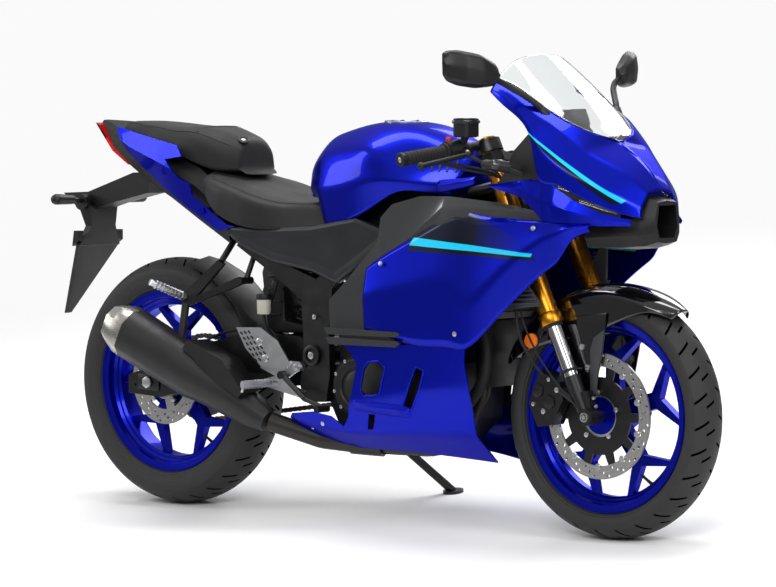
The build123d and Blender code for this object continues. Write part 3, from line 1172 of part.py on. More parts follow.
# ---------------------------------------------------------------- side stand
def build_stand():
    """Side stand: leg, eye and a foot flat on the floor once the bike leans."""
    pivot, foot, axis = Vector(*STAND_PIVOT), stand_foot(), stand_axis()
    turn = radians(PARKED_LEAN)
    up = Vector(0, -sin(turn), cos(turn))
    pad = Solid.make_cylinder(STAND_FOOT_RADIUS, STAND_FOOT_THICKNESS, Plane(origin=foot, z_dir=up))
    along = (foot - pivot).normalized()
    leg = rod(pivot + along * 14, foot + up * STAND_FOOT_THICKNESS / 2, STAND_LEG_RADIUS)
    leg -= Solid.make_cylinder(STAND_FOOT_RADIUS, 30, Plane(origin=foot - up * 30, z_dir=up))
    eye = Solid.make_cylinder(STAND_EYE_RADIUS, STAND_EYE_LENGTH, Plane(origin=pivot - axis * STAND_EYE_LENGTH / 2, z_dir=axis))
    bore = Solid.make_cylinder(STAND_PIN_RADIUS + 0.3, 60, Plane(origin=pivot - axis * 30, z_dir=axis))
    add("side_stand", "side_stand", largest(leg + pad + eye - bore))


build_stand()


# ---------------------------------------------------------------- parked pose and files
def parked(box_centre):
    """Move from the upright frame to the leaned frame about the footprint's middle."""
    return Pos(-box_centre[0], -box_centre[1], GROUND_DROP) * Rot(-PARKED_LEAN, 0, 0)


def footprint_centre():
    """Middle, in X and Y, of the leaned bike's bounding box."""
    lean = Rot(-PARKED_LEAN, 0, 0)
    low, high = [1e9, 1e9], [-1e9, -1e9]
    for shapes in nodes.values():
        for shape in shapes:
            box = (lean * shape).bounding_box()
            low = [min(low[0], box.min.X), min(low[1], box.min.Y)]
            high = [max(high[0], box.max.X), max(high[1], box.max.Y)]
    return ((low[0] + high[0]) / 2, (low[1] + high[1]) / 2)


PLACE = parked(footprint_centre())


def write_parts():
    """One STEP file per node, in the parked pose."""
    os.makedirs("parts", exist_ok=True)
    for name, shapes in nodes.items():
        placed = [PLACE * shape for shape in shapes]
        piece = placed[0] if len(placed) == 1 else Compound(children=placed)
        export_step(piece, os.path.join("parts", name + ".step"))


if __name__ == "__main__":
    write_parts()
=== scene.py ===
"""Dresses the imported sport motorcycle: finishes, trim, seats, tyres, lamps, floor, lights and camera.

All shapes are drawn in the upright machine's frame, X forward from the rear axle, Y to the rider's
left and Z up, and PARK turns that frame into the leaned one. The shape tables and the add_ helpers
take millimetres; the axles, the materials and the settings are in metres.
"""

import json
import math

import bmesh
import bpy
from bpy.props import FloatProperty, FloatVectorProperty, IntProperty, PointerProperty
from mathutils import Matrix, Vector
from mathutils.bvhtree import BVHTree


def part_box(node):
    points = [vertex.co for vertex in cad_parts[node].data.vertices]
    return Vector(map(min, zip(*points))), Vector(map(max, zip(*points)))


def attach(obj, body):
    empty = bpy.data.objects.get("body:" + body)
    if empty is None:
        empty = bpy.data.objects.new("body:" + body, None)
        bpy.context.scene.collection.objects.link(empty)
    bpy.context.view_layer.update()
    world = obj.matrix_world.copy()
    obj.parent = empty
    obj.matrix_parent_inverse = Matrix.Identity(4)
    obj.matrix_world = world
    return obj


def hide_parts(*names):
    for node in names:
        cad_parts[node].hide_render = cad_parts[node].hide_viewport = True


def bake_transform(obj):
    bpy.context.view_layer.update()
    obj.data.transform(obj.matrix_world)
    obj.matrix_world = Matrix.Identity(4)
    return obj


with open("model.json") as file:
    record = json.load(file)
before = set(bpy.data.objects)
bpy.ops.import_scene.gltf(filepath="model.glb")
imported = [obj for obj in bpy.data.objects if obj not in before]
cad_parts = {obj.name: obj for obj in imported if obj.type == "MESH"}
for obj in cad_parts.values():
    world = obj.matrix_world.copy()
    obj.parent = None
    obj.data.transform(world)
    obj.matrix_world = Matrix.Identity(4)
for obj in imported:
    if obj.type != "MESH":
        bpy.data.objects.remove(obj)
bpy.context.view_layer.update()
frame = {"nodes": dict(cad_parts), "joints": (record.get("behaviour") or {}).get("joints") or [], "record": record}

bl_info = {
    "name": "Sport motorcycle dresser",
    "version": (1, 0, 0),
    "blender": (4, 5, 0),
    "location": "3D View > Sidebar > Motorcycle",
    "description": "Adds finishes, trim and soft parts to the packed motorcycle",
    "category": "Object",
}

MM = 0.001
REAR_AXLE = Vector((0.0, 0.0, 0.314))
FRONT_AXLE = Vector((1.380, 0.0, 0.293))
# Axles in side view, x and z in mm.
REAR_HUB = (0, 314)
FRONT_HUB = (1380, 293)
# The sign of y and the name ending on each side of the machine.
SIDES = ((-1, "right"), (1, "left"))
# Finishes by name, filled by the first step.
MATERIALS = {}


# The rear axle's place and direction give the lean and the move to the footprint's middle.
_axle = next(item for item in frame["joints"] if item["name"] == "rear_wheel_spin")
LEAN = math.atan2(_axle["axis"][2], _axle["axis"][1])
LEAN_TURN = Matrix.Rotation(LEAN, 4, "X")
PARK = Matrix.Translation(Vector(_axle["pos_m"]) - LEAN_TURN @ REAR_AXLE) @ LEAN_TURN
UPRIGHT = PARK.inverted()


# ---------------------------------------------------------------- node and colour helpers
def linear(code, alpha=1.0):
    """Linear RGBA of an sRGB hex colour; a colour that is linear already only gets its alpha."""
    if not isinstance(code, str):
        return [*code[:3], alpha]
    channels = [int(code[i:i + 2], 16) / 255 for i in (1, 3, 5)]
    return [c / 12.92 if c <= 0.04045 else ((c + 0.055) / 1.055) ** 2.4 for c in channels] + [alpha]


def add_node(tree, kind, values=(), links=(), **settings):
    """A shader node with its settings, fixed socket values and incoming links."""
    node = tree.nodes.new(kind)
    for name, value in settings.items():
        setattr(node, name, value)
    for socket, value in values:
        node.inputs[socket].default_value = value
    for socket, source in links:
        tree.links.new(source, node.inputs[socket])
    return node


def new_material(name, colour, metallic=0.0, roughness=0.5, **sockets):
    """A material with one Principled shader; returns the material, its tree and the shader."""
    material = bpy.data.materials.new(name)
    material.use_nodes = True
    tree = material.node_tree
    shader = tree.nodes["Principled BSDF"]
    shader.inputs["Base Color"].default_value = linear(colour)
    shader.inputs["Metallic"].default_value = metallic
    shader.inputs["Roughness"].default_value = roughness
    for socket, value in sockets.items():
        shader.inputs[socket.replace("_", " ")].default_value = value
    material.diffuse_color = linear(colour)
    return material, tree, shader


def upright_material(name, colour, **settings):
    """A new material with Object coordinates turned back to the upright machine's frame, in metres."""
    material, tree, shader = new_material(name, colour, **settings)
    place = add_node(tree, "ShaderNodeTexCoord")
    coordinates = add_node(tree, "ShaderNodeMapping", links=[("Vector", place.outputs["Object"])],
                           values=[("Location", UPRIGHT.to_translation()), ("Rotation", (-LEAN, 0, 0))],
                           vector_type="POINT").outputs["Vector"]
    return material, tree, shader, coordinates


def add_bump(tree, shader, height, distance, strength=1.0):
    """Bump from a height socket, in metres."""
    bump = add_node(tree, "ShaderNodeBump", values=[("Strength", strength), ("Distance", distance)],
                    links=[("Height", height)])
    tree.links.new(bump.outputs["Normal"], shader.inputs["Normal"])


def noise(tree, coordinates, grain, detail=3.0, **settings):
    """Noise whose blobs are about as large as grain, in metres."""
    return add_node(tree, "ShaderNodeTexNoise", values=[("Scale", 1 / grain), ("Detail", detail)],
                    links=[("Vector", coordinates)], **settings).outputs["Fac"]


def remap(tree, source, low, high, out_low, out_high):
    """A value taken from one range to another, clamped."""
    return add_node(tree, "ShaderNodeMapRange", links=[("Value", source)],
                    values=[("From Min", low), ("From Max", high), ("To Min", out_low), ("To Max", out_high)]
                    ).outputs["Result"]


def vary_roughness(tree, shader, source, low, high):
    """Lets the roughness follow a noise value between two limits."""
    tree.links.new(remap(tree, source, 0.3, 0.7, low, high), shader.inputs["Roughness"])


def mix_colour(tree, factor, first, second):
    """Mix of two colours, each a socket or an sRGB hex, by a factor socket."""
    node = add_node(tree, "ShaderNodeMix", links=[("Factor", factor)], data_type="RGBA")
    for socket, colour in ((node.inputs[6], first), (node.inputs[7], second)):
        if isinstance(colour, bpy.types.NodeSocket):
            tree.links.new(colour, socket)
        else:
            socket.default_value = linear(colour)
    return node.outputs[2]


def math_node(tree, operation, first, second=None):
    """One arithmetic step; each operand is a socket or a number."""
    node = add_node(tree, "ShaderNodeMath", operation=operation)
    for index, operand in enumerate((first, second)):
        if operand is None:
            continue
        if isinstance(operand, (int, float)):
            node.inputs[index].default_value = operand
        else:
            tree.links.new(operand, node.inputs[index])
    return node.outputs[0]


def side_mask(tree, coordinates, corners, soft=0.0006):
    """1 inside a convex outline of (x, z) corners, given clockwise seen from the right side."""
    inside = None
    count = len(corners)
    middle = Vector((sum(c[0] for c in corners) / count, sum(c[1] for c in corners) / count))
    for i, corner in enumerate(corners):
        a, b = Vector(corner), Vector(corners[(i + 1) % count])
        normal = Vector((-(b - a).y, (b - a).x)).normalized()
        if normal.dot(middle - a) < 0:
            normal = -normal
        away = add_node(tree, "ShaderNodeVectorMath", operation="DOT_PRODUCT", links=[(0, coordinates)],
                        values=[(1, (normal.x, 0, normal.y))]).outputs["Value"]
        edge = remap(tree, away, normal.dot(a) - soft, normal.dot(a) + soft, 0, 1)
        inside = edge if inside is None else math_node(tree, "MULTIPLY", inside, edge)
    return inside


# ---------------------------------------------------------------- settings
def colour_setting(name, description, code):
    """A colour whose default is an sRGB hex."""
    return FloatVectorProperty(name=name, description=description, subtype="COLOR", size=3, min=0, max=1,
                               default=linear(code)[:3])


def length_setting(name, description, metres):
    """A length in metres."""
    return FloatProperty(name=name, description=description, unit="LENGTH", default=metres)


class MOTO_PG_colours(bpy.types.PropertyGroup):
    """Colours that a user would change"""
    paint: colour_setting("Paint", "Lacquer of the tank, cowls and side panels", "#0314A6")
    wheels: colour_setting("Wheels", "Powder coat of both wheels", "#03109C")
    stripe: colour_setting("Stripe", "Light stripe on the nose and the side panels", "#1FC8F0")
    shadow: colour_setting("Dark stripe", "Dark stripe beside the light one", "#07080C")
    background: colour_setting("Background", "Pale colour behind the machine", "#FAFAFA")


class MOTO_PG_sizes(bpy.types.PropertyGroup):
    """Sizes that a user would change"""
    panel_wall: length_setting("Panel wall", "Thickness of the moulded panels", 3.0 * MM)
    skin_levels: IntProperty(name="Skin levels", description="Subdivision levels of the smooth skins",
                             default=3, min=1, max=4)
    piping_radius: length_setting("Piping", "Radius of the seats' piping", 1.5 * MM)
    stitch_pitch: length_setting("Stitches", "Distance from one stitch to the next", 7.5 * MM)
    tread_depth: length_setting("Tread depth", "Depth of the tyres' grooves", 3.2 * MM)
    front_grooves: IntProperty(name="Front grooves", description="Grooves in a row round the front tyre",
                               default=28)
    rear_grooves: IntProperty(name="Rear grooves", description="Grooves in a row round the rear tyre",
                              default=30)
    camera_lens: FloatProperty(name="Lens", description="Focal length of the camera", unit="CAMERA",
                               default=202.2)
    camera_turn: FloatProperty(name="Camera turn", description="Turn of the camera round the vertical",
                               subtype="ANGLE", default=math.radians(39.79))
    camera_dip: FloatProperty(name="Camera dip", description="How far the camera looks down",
                              subtype="ANGLE", default=math.radians(2.874))
    light: FloatProperty(name="Light", description="Share of the softboxes' full power",
                         subtype="FACTOR", default=1.0, min=0, max=2)


def colours():
    """The scene's colour settings."""
    return bpy.context.scene.moto_colours


def sizes():
    """The scene's size settings."""
    return bpy.context.scene.moto_sizes


# ---------------------------------------------------------------- materials
BLUE_SHEEN = "#7F9CFF"


def lacquered_blue(name, colour):
    """Blue metallic base coat under clear lacquer on moulded ABS: deep colour, blue highlights."""
    made = upright_material(name, colour, roughness=0.3, metallic=0.82, Coat_Weight=0.18, Coat_Roughness=0.03,
                            Specular_IOR_Level=0.3, Specular_Tint=linear(BLUE_SHEEN))
    _, tree, shader, coordinates = made
    add_bump(tree, shader, noise(tree, coordinates, 4 * MM, detail=1.0), 0.02 * MM, 0.35)
    return made


def flat_where(tree, shader, mask):
    """Takes the metallic flake out of the lacquer where a stripe covers it."""
    metallic = shader.inputs["Metallic"]
    tree.links.new(remap(tree, mask, 0, 1, metallic.default_value, 0), metallic)


def blue_cowl_material():
    """Blue lacquer with the nose stripes: cyan, then black, tapering forward."""
    material, tree, shader, coordinates = lacquered_blue("lacquered_abs_blue_striped", colours().paint)
    cyan = side_mask(tree, coordinates, [(1.250, 0.968), (1.252, 0.971), (1.486, 0.800), (1.478, 0.794)])
    dark = side_mask(tree, coordinates, [(1.250, 0.964), (1.251, 0.968), (1.478, 0.795), (1.462, 0.792)])
    colour = mix_colour(tree, cyan, colours().paint, colours().stripe)
    colour = mix_colour(tree, dark, colour, colours().shadow)
    tree.links.new(colour, shader.inputs["Base Color"])
    flat_where(tree, shader, math_node(tree, "MAXIMUM", cyan, dark))
    return material


def blue_side_material():
    """Blue lacquer with the side panel's black field and cyan line, both thinning forward."""
    material, tree, shader, coordinates = lacquered_blue("lacquered_abs_blue_side", colours().paint)
    field = side_mask(tree, coordinates, [(0.900, 0.690), (0.958, 0.757), (1.090, 0.765), (1.300, 0.690),
                                          (1.296, 0.672)])
    x = add_node(tree, "ShaderNodeSeparateXYZ", links=[("Vector", coordinates)]).outputs["X"]
    field = math_node(tree, "MULTIPLY", field, remap(tree, x, 1.10, 1.27, 1, 0))
    line = side_mask(tree, coordinates, [(0.900, 0.673), (0.908, 0.687), (1.292, 0.668), (1.300, 0.660)])
    cyan = side_mask(tree, coordinates, [(0.906, 0.686), (0.918, 0.705), (1.292, 0.676), (1.286, 0.668)])
    colour = mix_colour(tree, field, colours().paint, colours().shadow)
    colour = mix_colour(tree, line, colour, colours().shadow)
    colour = mix_colour(tree, cyan, colour, colours().stripe)
    tree.links.new(colour, shader.inputs["Base Color"])
    flat_where(tree, shader, math_node(tree, "MAXIMUM", field, math_node(tree, "MAXIMUM", line, cyan)))
    return material


def blue_material():
    """Plain blue lacquer for panels with no stripe."""
    return lacquered_blue("lacquered_abs_blue", colours().paint)[0]


def wheel_material():
    """Blue powder coat on cast aluminium: glossy, with a faint cast ripple."""
    material, tree, shader, coordinates = upright_material(
        "powder_coated_cast_wheel", colours().wheels, metallic=0.8, roughness=0.3, Coat_Weight=0.2,
        Coat_Roughness=0.08, Specular_IOR_Level=0.3, Specular_Tint=linear(BLUE_SHEEN))
    add_bump(tree, shader, noise(tree, coordinates, 3 * MM), 0.06 * MM, 0.5)
    return material


def moulded_plastic(name, colour, roughness=0.46, grain=0.9 * MM, depth=0.05 * MM):
    """Injection moulded ABS with a fine spark-eroded grain: a soft sheen and no sharp reflection."""
    material, tree, shader, coordinates = upright_material(name, colour, roughness=roughness,
                                                           Specular_IOR_Level=0.36)
    add_bump(tree, shader, noise(tree, coordinates, grain, detail=2.0), depth, 0.6)
    vary_roughness(tree, shader, noise(tree, coordinates, 60 * MM), roughness - 0.05, roughness + 0.06)
    return material


def gloss_plastic(name, colour, roughness=0.1):
    """Polished ABS: near mirror-smooth, with faint waviness."""
    material, tree, shader, coordinates = upright_material(name, colour, roughness=roughness,
                                                           Coat_Weight=0.6, Coat_Roughness=roughness / 3)
    add_bump(tree, shader, noise(tree, coordinates, 25 * MM, detail=0.0), 0.08 * MM, 0.3)
    return material


def satin_metal(name, colour, roughness, metallic=0.9, grain=1.2 * MM, depth=0.05 * MM):
    """Cast or coated metal: a fine pebble from the mould and slightly uneven sheen."""
    material, tree, shader, coordinates = upright_material(name, colour, metallic=metallic,
                                                           roughness=roughness)
    if depth:
        add_bump(tree, shader, noise(tree, coordinates, grain), depth, 0.6)
    spread = min(0.06, roughness / 4)
    vary_roughness(tree, shader, noise(tree, coordinates, 30 * MM), roughness - spread, roughness + spread)
    return material


def brushed_metal(name, colour, roughness, stretch, grain=1.0 * MM):
    """Brushed or drawn metal: fine lines along one direction that break up the reflection."""
    material, tree, shader, coordinates = upright_material(name, colour, metallic=1.0, roughness=roughness)
    lines = add_node(tree, "ShaderNodeMapping", values=[("Scale", [1 / s for s in stretch])],
                     links=[("Vector", coordinates)]).outputs["Vector"]
    scratches = noise(tree, lines, grain)
    add_bump(tree, shader, scratches, 0.02 * MM, 0.5)
    vary_roughness(tree, shader, scratches, roughness - 0.08, roughness + 0.08)
    return material


def ground_disc(name, axle):
    """Ground brake steel: concentric scratches from the pads, brighter where they rub."""
    material, tree, shader, coordinates = upright_material(name, "#B4B3B0", metallic=1.0, roughness=0.3)
    flat = add_node(tree, "ShaderNodeVectorMath", operation="SUBTRACT", links=[(0, coordinates)],
                    values=[(1, axle)]).outputs["Vector"]
    side = add_node(tree, "ShaderNodeVectorMath", operation="MULTIPLY", links=[(0, flat)],
                    values=[(1, (1, 0, 1))]).outputs["Vector"]
    radius = add_node(tree, "ShaderNodeVectorMath", operation="LENGTH", links=[(0, side)]).outputs["Value"]
    rings = add_node(tree, "ShaderNodeTexNoise", noise_dimensions="1D", links=[("W", radius)],
                     values=[("Scale", 1 / (1.2 * MM)), ("Detail", 2.0)]).outputs["Fac"]
    add_bump(tree, shader, rings, 0.03 * MM, 0.8)
    vary_roughness(tree, shader, rings, 0.2, 0.42)
    return material


def seat_vinyl():
    """Stretched vinyl seat cover: pebbled grain, a dull sheen and small creases."""
    material, tree, shader, coordinates = upright_material("vinyl_seat_cover", "#0C0C0E", roughness=0.56,
                                                           Sheen_Weight=0.04, Specular_IOR_Level=0.35)
    pebble = add_node(tree, "ShaderNodeTexVoronoi", values=[("Scale", 1 / (2.2 * MM))],
                      links=[("Vector", coordinates)], feature="SMOOTH_F1").outputs["Distance"]
    add_bump(tree, shader, pebble, 0.25 * MM, 0.5)
    vary_roughness(tree, shader, noise(tree, coordinates, 70 * MM), 0.54, 0.7)
    return material


def tyre_rubber(name, axle, grooves):
    """Vulcanised rubber: matt and slightly grey, with moulded slanting grooves and sidewall ribs; the grooves get
    painted shade, near black and with no specular.
    """
    material, tree, shader, coordinates = upright_material(name, "#1C1C1D", roughness=0.66)
    away = add_node(tree, "ShaderNodeVectorMath", operation="SUBTRACT", links=[(0, coordinates)],
                    values=[(1, axle)]).outputs["Vector"]
    parts = add_node(tree, "ShaderNodeSeparateXYZ", links=[("Vector", away)]).outputs
    turn = math_node(tree, "ARCTAN2", parts["Z"], parts["X"])
    radius = math_node(tree, "SQRT", math_node(tree, "ADD", math_node(tree, "POWER", parts["X"], 2.0),
                                               math_node(tree, "POWER", parts["Z"], 2.0)))
    across = math_node(tree, "ABSOLUTE", parts["Y"])
    side = math_node(tree, "MULTIPLY", math_node(tree, "SIGN", parts["Y"]), 0.25)
    depth = None
    for shift, slant, near, far in ((0.0, 9.0, 6 * MM, 30 * MM), (0.5, 11.0, 24 * MM, 54 * MM)):
        phase = math_node(tree, "MULTIPLY", turn, grooves / math.tau)
        phase = math_node(tree, "ADD", phase, math_node(tree, "MULTIPLY", across, slant))
        phase = math_node(tree, "ADD", phase, math_node(tree, "ADD", side, shift))
        saw = math_node(tree, "ABSOLUTE", math_node(tree, "SUBTRACT", math_node(tree, "FRACT", phase), 0.5))
        groove = remap(tree, saw, 0.044, 0.058, 1, 0)
        groove = math_node(tree, "MULTIPLY", groove, remap(tree, across, near - MM, near + MM, 0, 1))
        groove = math_node(tree, "MULTIPLY", groove, remap(tree, across, far - 2 * MM, far, 1, 0))
        tread = remap(tree, radius, axle[2] - 38 * MM, axle[2] - 34 * MM, 0, 1)
        groove = math_node(tree, "MULTIPLY", groove, tread)
        depth = groove if depth is None else math_node(tree, "MAXIMUM", depth, groove)
    ribs = math_node(tree, "SINE", math_node(tree, "MULTIPLY", radius, math.tau / (5 * MM)))
    sidewall = remap(tree, radius, axle[2] - 52 * MM, axle[2] - 46 * MM, 0.12, 0)
    ribs = math_node(tree, "MULTIPLY", ribs, sidewall)
    height = math_node(tree, "SUBTRACT", ribs, depth)
    grain = math_node(tree, "MULTIPLY", noise(tree, coordinates, 1.5 * MM), 0.03)
    height = math_node(tree, "ADD", height, grain)
    add_bump(tree, shader, height, sizes().tread_depth, 1.0)
    cloud = mix_colour(tree, noise(tree, coordinates, 45 * MM), "#19191A", "#232324")
    # Painted shade: the grooves are coloured near black and lose their specular, standing in for the shade inside
    # them.
    tree.links.new(mix_colour(tree, depth, cloud, "#010101"), shader.inputs["Base Color"])
    tree.links.new(remap(tree, depth, 0, 1, 0.5, 0.0), shader.inputs["Specular IOR Level"])
    return material


def clear_plastic(name, colour, roughness=0.02, clear=1.0):
    """Moulded polycarbonate: see-through by the share clear, with a clean reflection."""
    material, tree, shader, coordinates = upright_material(name, colour, roughness=roughness,
                                                           Transmission_Weight=clear, IOR=1.49)
    add_bump(tree, shader, noise(tree, coordinates, 40 * MM, detail=0.0), 0.05 * MM, 0.2)
    return material


def make_materials():
    """All finishes, by the record's slot names and a few more."""
    return {
        "blue_paint": blue_material(),
        "blue_striped": blue_cowl_material(),
        "blue_alloy": wheel_material(),
        "black_plastic": moulded_plastic("spark_grained_abs_black", "#0E0E10"),
        "grey_plastic": moulded_plastic("spark_grained_abs_grey", "#1E2023", roughness=0.38),
        "gloss_black": gloss_plastic("polished_abs_black", "#060608"),
        "black_alloy": satin_metal("black_coated_cast_aluminium", "#121214", 0.38, metallic=0.3),
        "frame_paint": satin_metal("black_painted_steel", "#101012", 0.36, metallic=0.1),
        "engine_alloy": satin_metal("dark_coated_crankcase", "#1A1A1C", 0.46, metallic=0.5, grain=2 * MM,
                                    depth=0.1 * MM),
        "gold_alloy": brushed_metal("gold_anodised_aluminium", "#C07F22", 0.32, stretch=(14, 1, 14)),
        "chrome": satin_metal("hard_chromed_tube", "#9C9C9F", 0.16, metallic=1.0, depth=0.0),
        "bare_alloy": satin_metal("satin_forged_aluminium", "#B9BABC", 0.34, metallic=1.0),
        "exhaust_steel": brushed_metal("brushed_stainless_steel", "#A7A49E", 0.3, stretch=(10, 10, 1)),
        "burnt_steel": satin_metal("heat_darkened_steel", "#34322F", 0.42, metallic=0.7),
        # Grey lightened from black; on the side trims it is a painted reflection of the sky.
        "gloss_grey": gloss_plastic("polished_abs_graphite_and_painted_reflection", "#2B2C2F", roughness=0.22),
        # On the mudguard's edge strips this grey is a painted reflection.
        "fin_grey": moulded_plastic("spark_grained_abs_graphite_and_painted_reflection", "#3D3F42", roughness=0.4),
        "silencer_black": satin_metal("heat_resistant_black", "#1B1B1D", 0.48, metallic=0.2),
        "shock_steel": satin_metal("coated_spring_steel", "#1E1E20", 0.4, metallic=0.4),
        "chain_steel": satin_metal("oiled_chain_steel", "#6E6A62", 0.36, metallic=1.0),
        "front_disc": ground_disc("ground_brake_steel_front", FRONT_AXLE),
        "rear_disc": ground_disc("ground_brake_steel_rear", REAR_AXLE),
        "front_tyre": tyre_rubber("vulcanised_front_tyre_rubber", FRONT_AXLE, sizes().front_grooves),
        "rear_tyre": tyre_rubber("vulcanised_rear_tyre_rubber", REAR_AXLE, sizes().rear_grooves),
        "grip_rubber": moulded_plastic("moulded_grip_rubber", "#121213", roughness=0.68, grain=1.6 * MM,
                                       depth=0.2 * MM),
        "seat_cover": seat_vinyl(),
        "blue_side_striped": blue_side_material(),
        "seat_piping": moulded_plastic("vinyl_seat_piping", "#101012", roughness=0.55),
        "seat_thread": moulded_plastic("polyester_seat_thread", "#3A3A3E", roughness=0.7),
        "switch_red": moulded_plastic("moulded_red_switch", "#C8281E", roughness=0.4),
        "fluid_pot": moulded_plastic("translucent_polyethylene_pot", "#B5B4A6", roughness=0.4),
        "clear_screen": clear_plastic("clear_polycarbonate_screen", "#F2F5F6"),
        "lamp_clear": clear_plastic("clear_lamp_lens", "#FFFFFF"),
        "lamp_red": clear_plastic("red_lamp_lens", "#C01414", roughness=0.08),
        "lamp_amber": clear_plastic("amber_reflector_lens", "#F27414", roughness=0.2, clear=0.15),
        "mirror": satin_metal("silvered_mirror_glass", "#E6E8EA", 0.02, metallic=1.0, depth=0.0),
    }


# ---------------------------------------------------------------- mesh helpers
def new_object(name, data):
    """An object for some data, linked to the scene."""
    item = bpy.data.objects.new(name, data)
    bpy.context.scene.collection.objects.link(item)
    return item


def link_piece(name, mesh, body, material):
    """An object for a finished mesh with one material, attached to a body when one is given.
    """
    piece = new_object(name, mesh)
    mesh.materials.clear()
    mesh.materials.append(MATERIALS[material])
    if body:
        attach(piece, body)
    return piece


def mesh_from(name, bm):
    """A mesh made of a bmesh, which is freed."""
    mesh = bpy.data.meshes.new(name)
    bm.to_mesh(mesh)
    bm.free()
    return mesh


def parked_mesh(name, bm):
    """The bmesh, drawn upright in metres, as a smooth-shaded mesh in the parked pose."""
    bm.transform(PARK)
    for face in bm.faces:
        face.smooth = True
    return mesh_from(name, bm)


def evaluated(piece):
    """A piece with its modifiers applied."""
    return piece.evaluated_get(bpy.context.evaluated_depsgraph_get())


def round_edges(bm, edges, radius, segments=2, **settings):
    """Bevels edges by a radius in mm."""
    bmesh.ops.bevel(bm, geom=list(edges), offset=radius * MM, offset_type="OFFSET", segments=segments,
                    profile=0.5, affect="EDGES", material=-1, **settings)


def sharpen_edges(bm, angle):
    """Smooth faces, and sharp edges where the surface turns by more than an angle in degrees or ends."""
    for face in bm.faces:
        face.smooth = True
    for edge in bm.edges:
        edge.smooth = len(edge.link_faces) == 2 and edge.calc_face_angle(0) <= math.radians(angle)


def edge_finished_copy(node, material, width, angle=32):
    """A merged copy of a CAD node with flat faces joined, smooth shading and softened edges."""
    bm = bmesh.new()
    bm.from_mesh(frame["nodes"][node].data)
    bmesh.ops.remove_doubles(bm, verts=bm.verts, dist=0.00002)
    bmesh.ops.dissolve_limit(bm, angle_limit=math.radians(0.6), verts=bm.verts, edges=bm.edges)
    for face in bm.faces:
        face.smooth = True
    for edge in bm.edges:
        if len(edge.link_faces) == 2 and edge.calc_face_angle(0) > math.radians(angle):
            edge.smooth = False
    body = next(b for b, names in frame["record"]["behaviour"]["bodies"].items() if node in names)
    piece = link_piece(node + "_finished", mesh_from(node + "_finished", bm), body, material)
    if width:
        bevel = piece.modifiers.new("edge_radius", "BEVEL")
        bevel.width = width
        bevel.segments = 2
        bevel.limit_method = "ANGLE"
        bevel.angle_limit = math.radians(angle)
        bevel.harden_normals = True
    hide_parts(node)


# Finishes of the CAD nodes. Columns: material, edge radius in mm and nodes. With no radius a node
# keeps its own mesh, unless it is one of the smooth skins.
FINISH_ROWS = [
    ("blue_alloy", 1.6, "front_rim rear_rim"),
    ("front_disc", 0, "front_brake_disc"),
    ("rear_disc", 0, "rear_brake_disc"),
    ("front_tyre", 0, "front_tyre"),
    ("rear_tyre", 0, "rear_tyre"),
    ("black_alloy", 0.8, "front_disc_carrier handlebars radiator"),
    ("black_alloy", 1.2, "fork_feet_and_axle rear_caliper pillion_footrests"),
    ("black_alloy", 1.5, "fork_clamps"),
    ("black_alloy", 1.6, "front_caliper"),
    ("black_alloy", 2.0, "swingarm"),
    ("black_alloy", 0, "foot_pedals"),
    ("chain_steel", 0, "rear_sprocket drive_chain"),
    ("chain_steel", 0.6, "rear_axle"),
    ("gold_alloy", 0.8, "fork_outer_tubes"),
    ("chrome", 0, "fork_sliders"),
    ("bare_alloy", 1.0, "filler_cap rider_footrests"),
    ("frame_paint", 1.6, "main_frame"),
    ("frame_paint", 0, "subframe fairing_stay side_stand"),
    ("engine_alloy", 2.0, "engine"),
    ("burnt_steel", 0, "exhaust_pipe"),
    ("silencer_black", 2.5, "silencer"),
    ("exhaust_steel", 1.6, "silencer_cap"),
    ("shock_steel", 0, "shock_absorber"),
    ("grip_rubber", 0, "grips"),
    ("seat_cover", 0, "pillion_seat rider_seat"),
    ("blue_paint", 0, "tail_panels fuel_tank side_panels nose_side_panels lower_cowls"),
    ("blue_striped", 0, "upper_cowl"),
    ("gloss_black", 0, "front_fender headlamps"),
    # The side trims are gloss black; their grey colour is a painted reflection of the sky.
    ("gloss_grey", 0.8, "side_trims"),
    ("grey_plastic", 2.5, "frame_covers"),
    ("black_plastic", 0, "tail_inner inner_cowls rear_mudguard"),
    ("black_plastic", 0.8, "chain_guard rear_indicators front_indicators"),
    ("black_plastic", 1.0, "plate_bracket"),
    ("black_plastic", 1.2, "bar_controls silencer_heat_shield"),
    ("black_plastic", 1.5, "front_sprocket_cover nose_duct mirrors"),
    ("black_plastic", 2.0, "instrument_panel"),
    ("lamp_red", 0, "tail_lamp"),
    ("clear_screen", 0, "windscreen"),
]
FINISHES = {node: (material, radius) for material, radius, nodes in FINISH_ROWS for node in nodes.split()}
# Nodes that have a piece of their own further down.
REBUILT = {"rider_seat", "pillion_seat", "fuel_tank", "upper_cowl", "windscreen", "side_panels",
           "front_fender", "drive_chain", "lower_cowls", "mirrors", "frame_covers"}
# Nodes whose ruled faces are shaded as one smooth skin, with the angle past which an edge stays sharp.
SMOOTH_SKINS = {
    "nose_side_panels": 24, "tail_panels": 24, "tail_inner": 30, "rear_mudguard": 30, "inner_cowls": 30,
    "headlamps": 30, "silencer": 50, "silencer_cap": 50, "exhaust_pipe": 50, "fork_sliders": 40,
    "subframe": 40, "shock_absorber": 40, "foot_pedals": 40, "side_stand": 40,
}


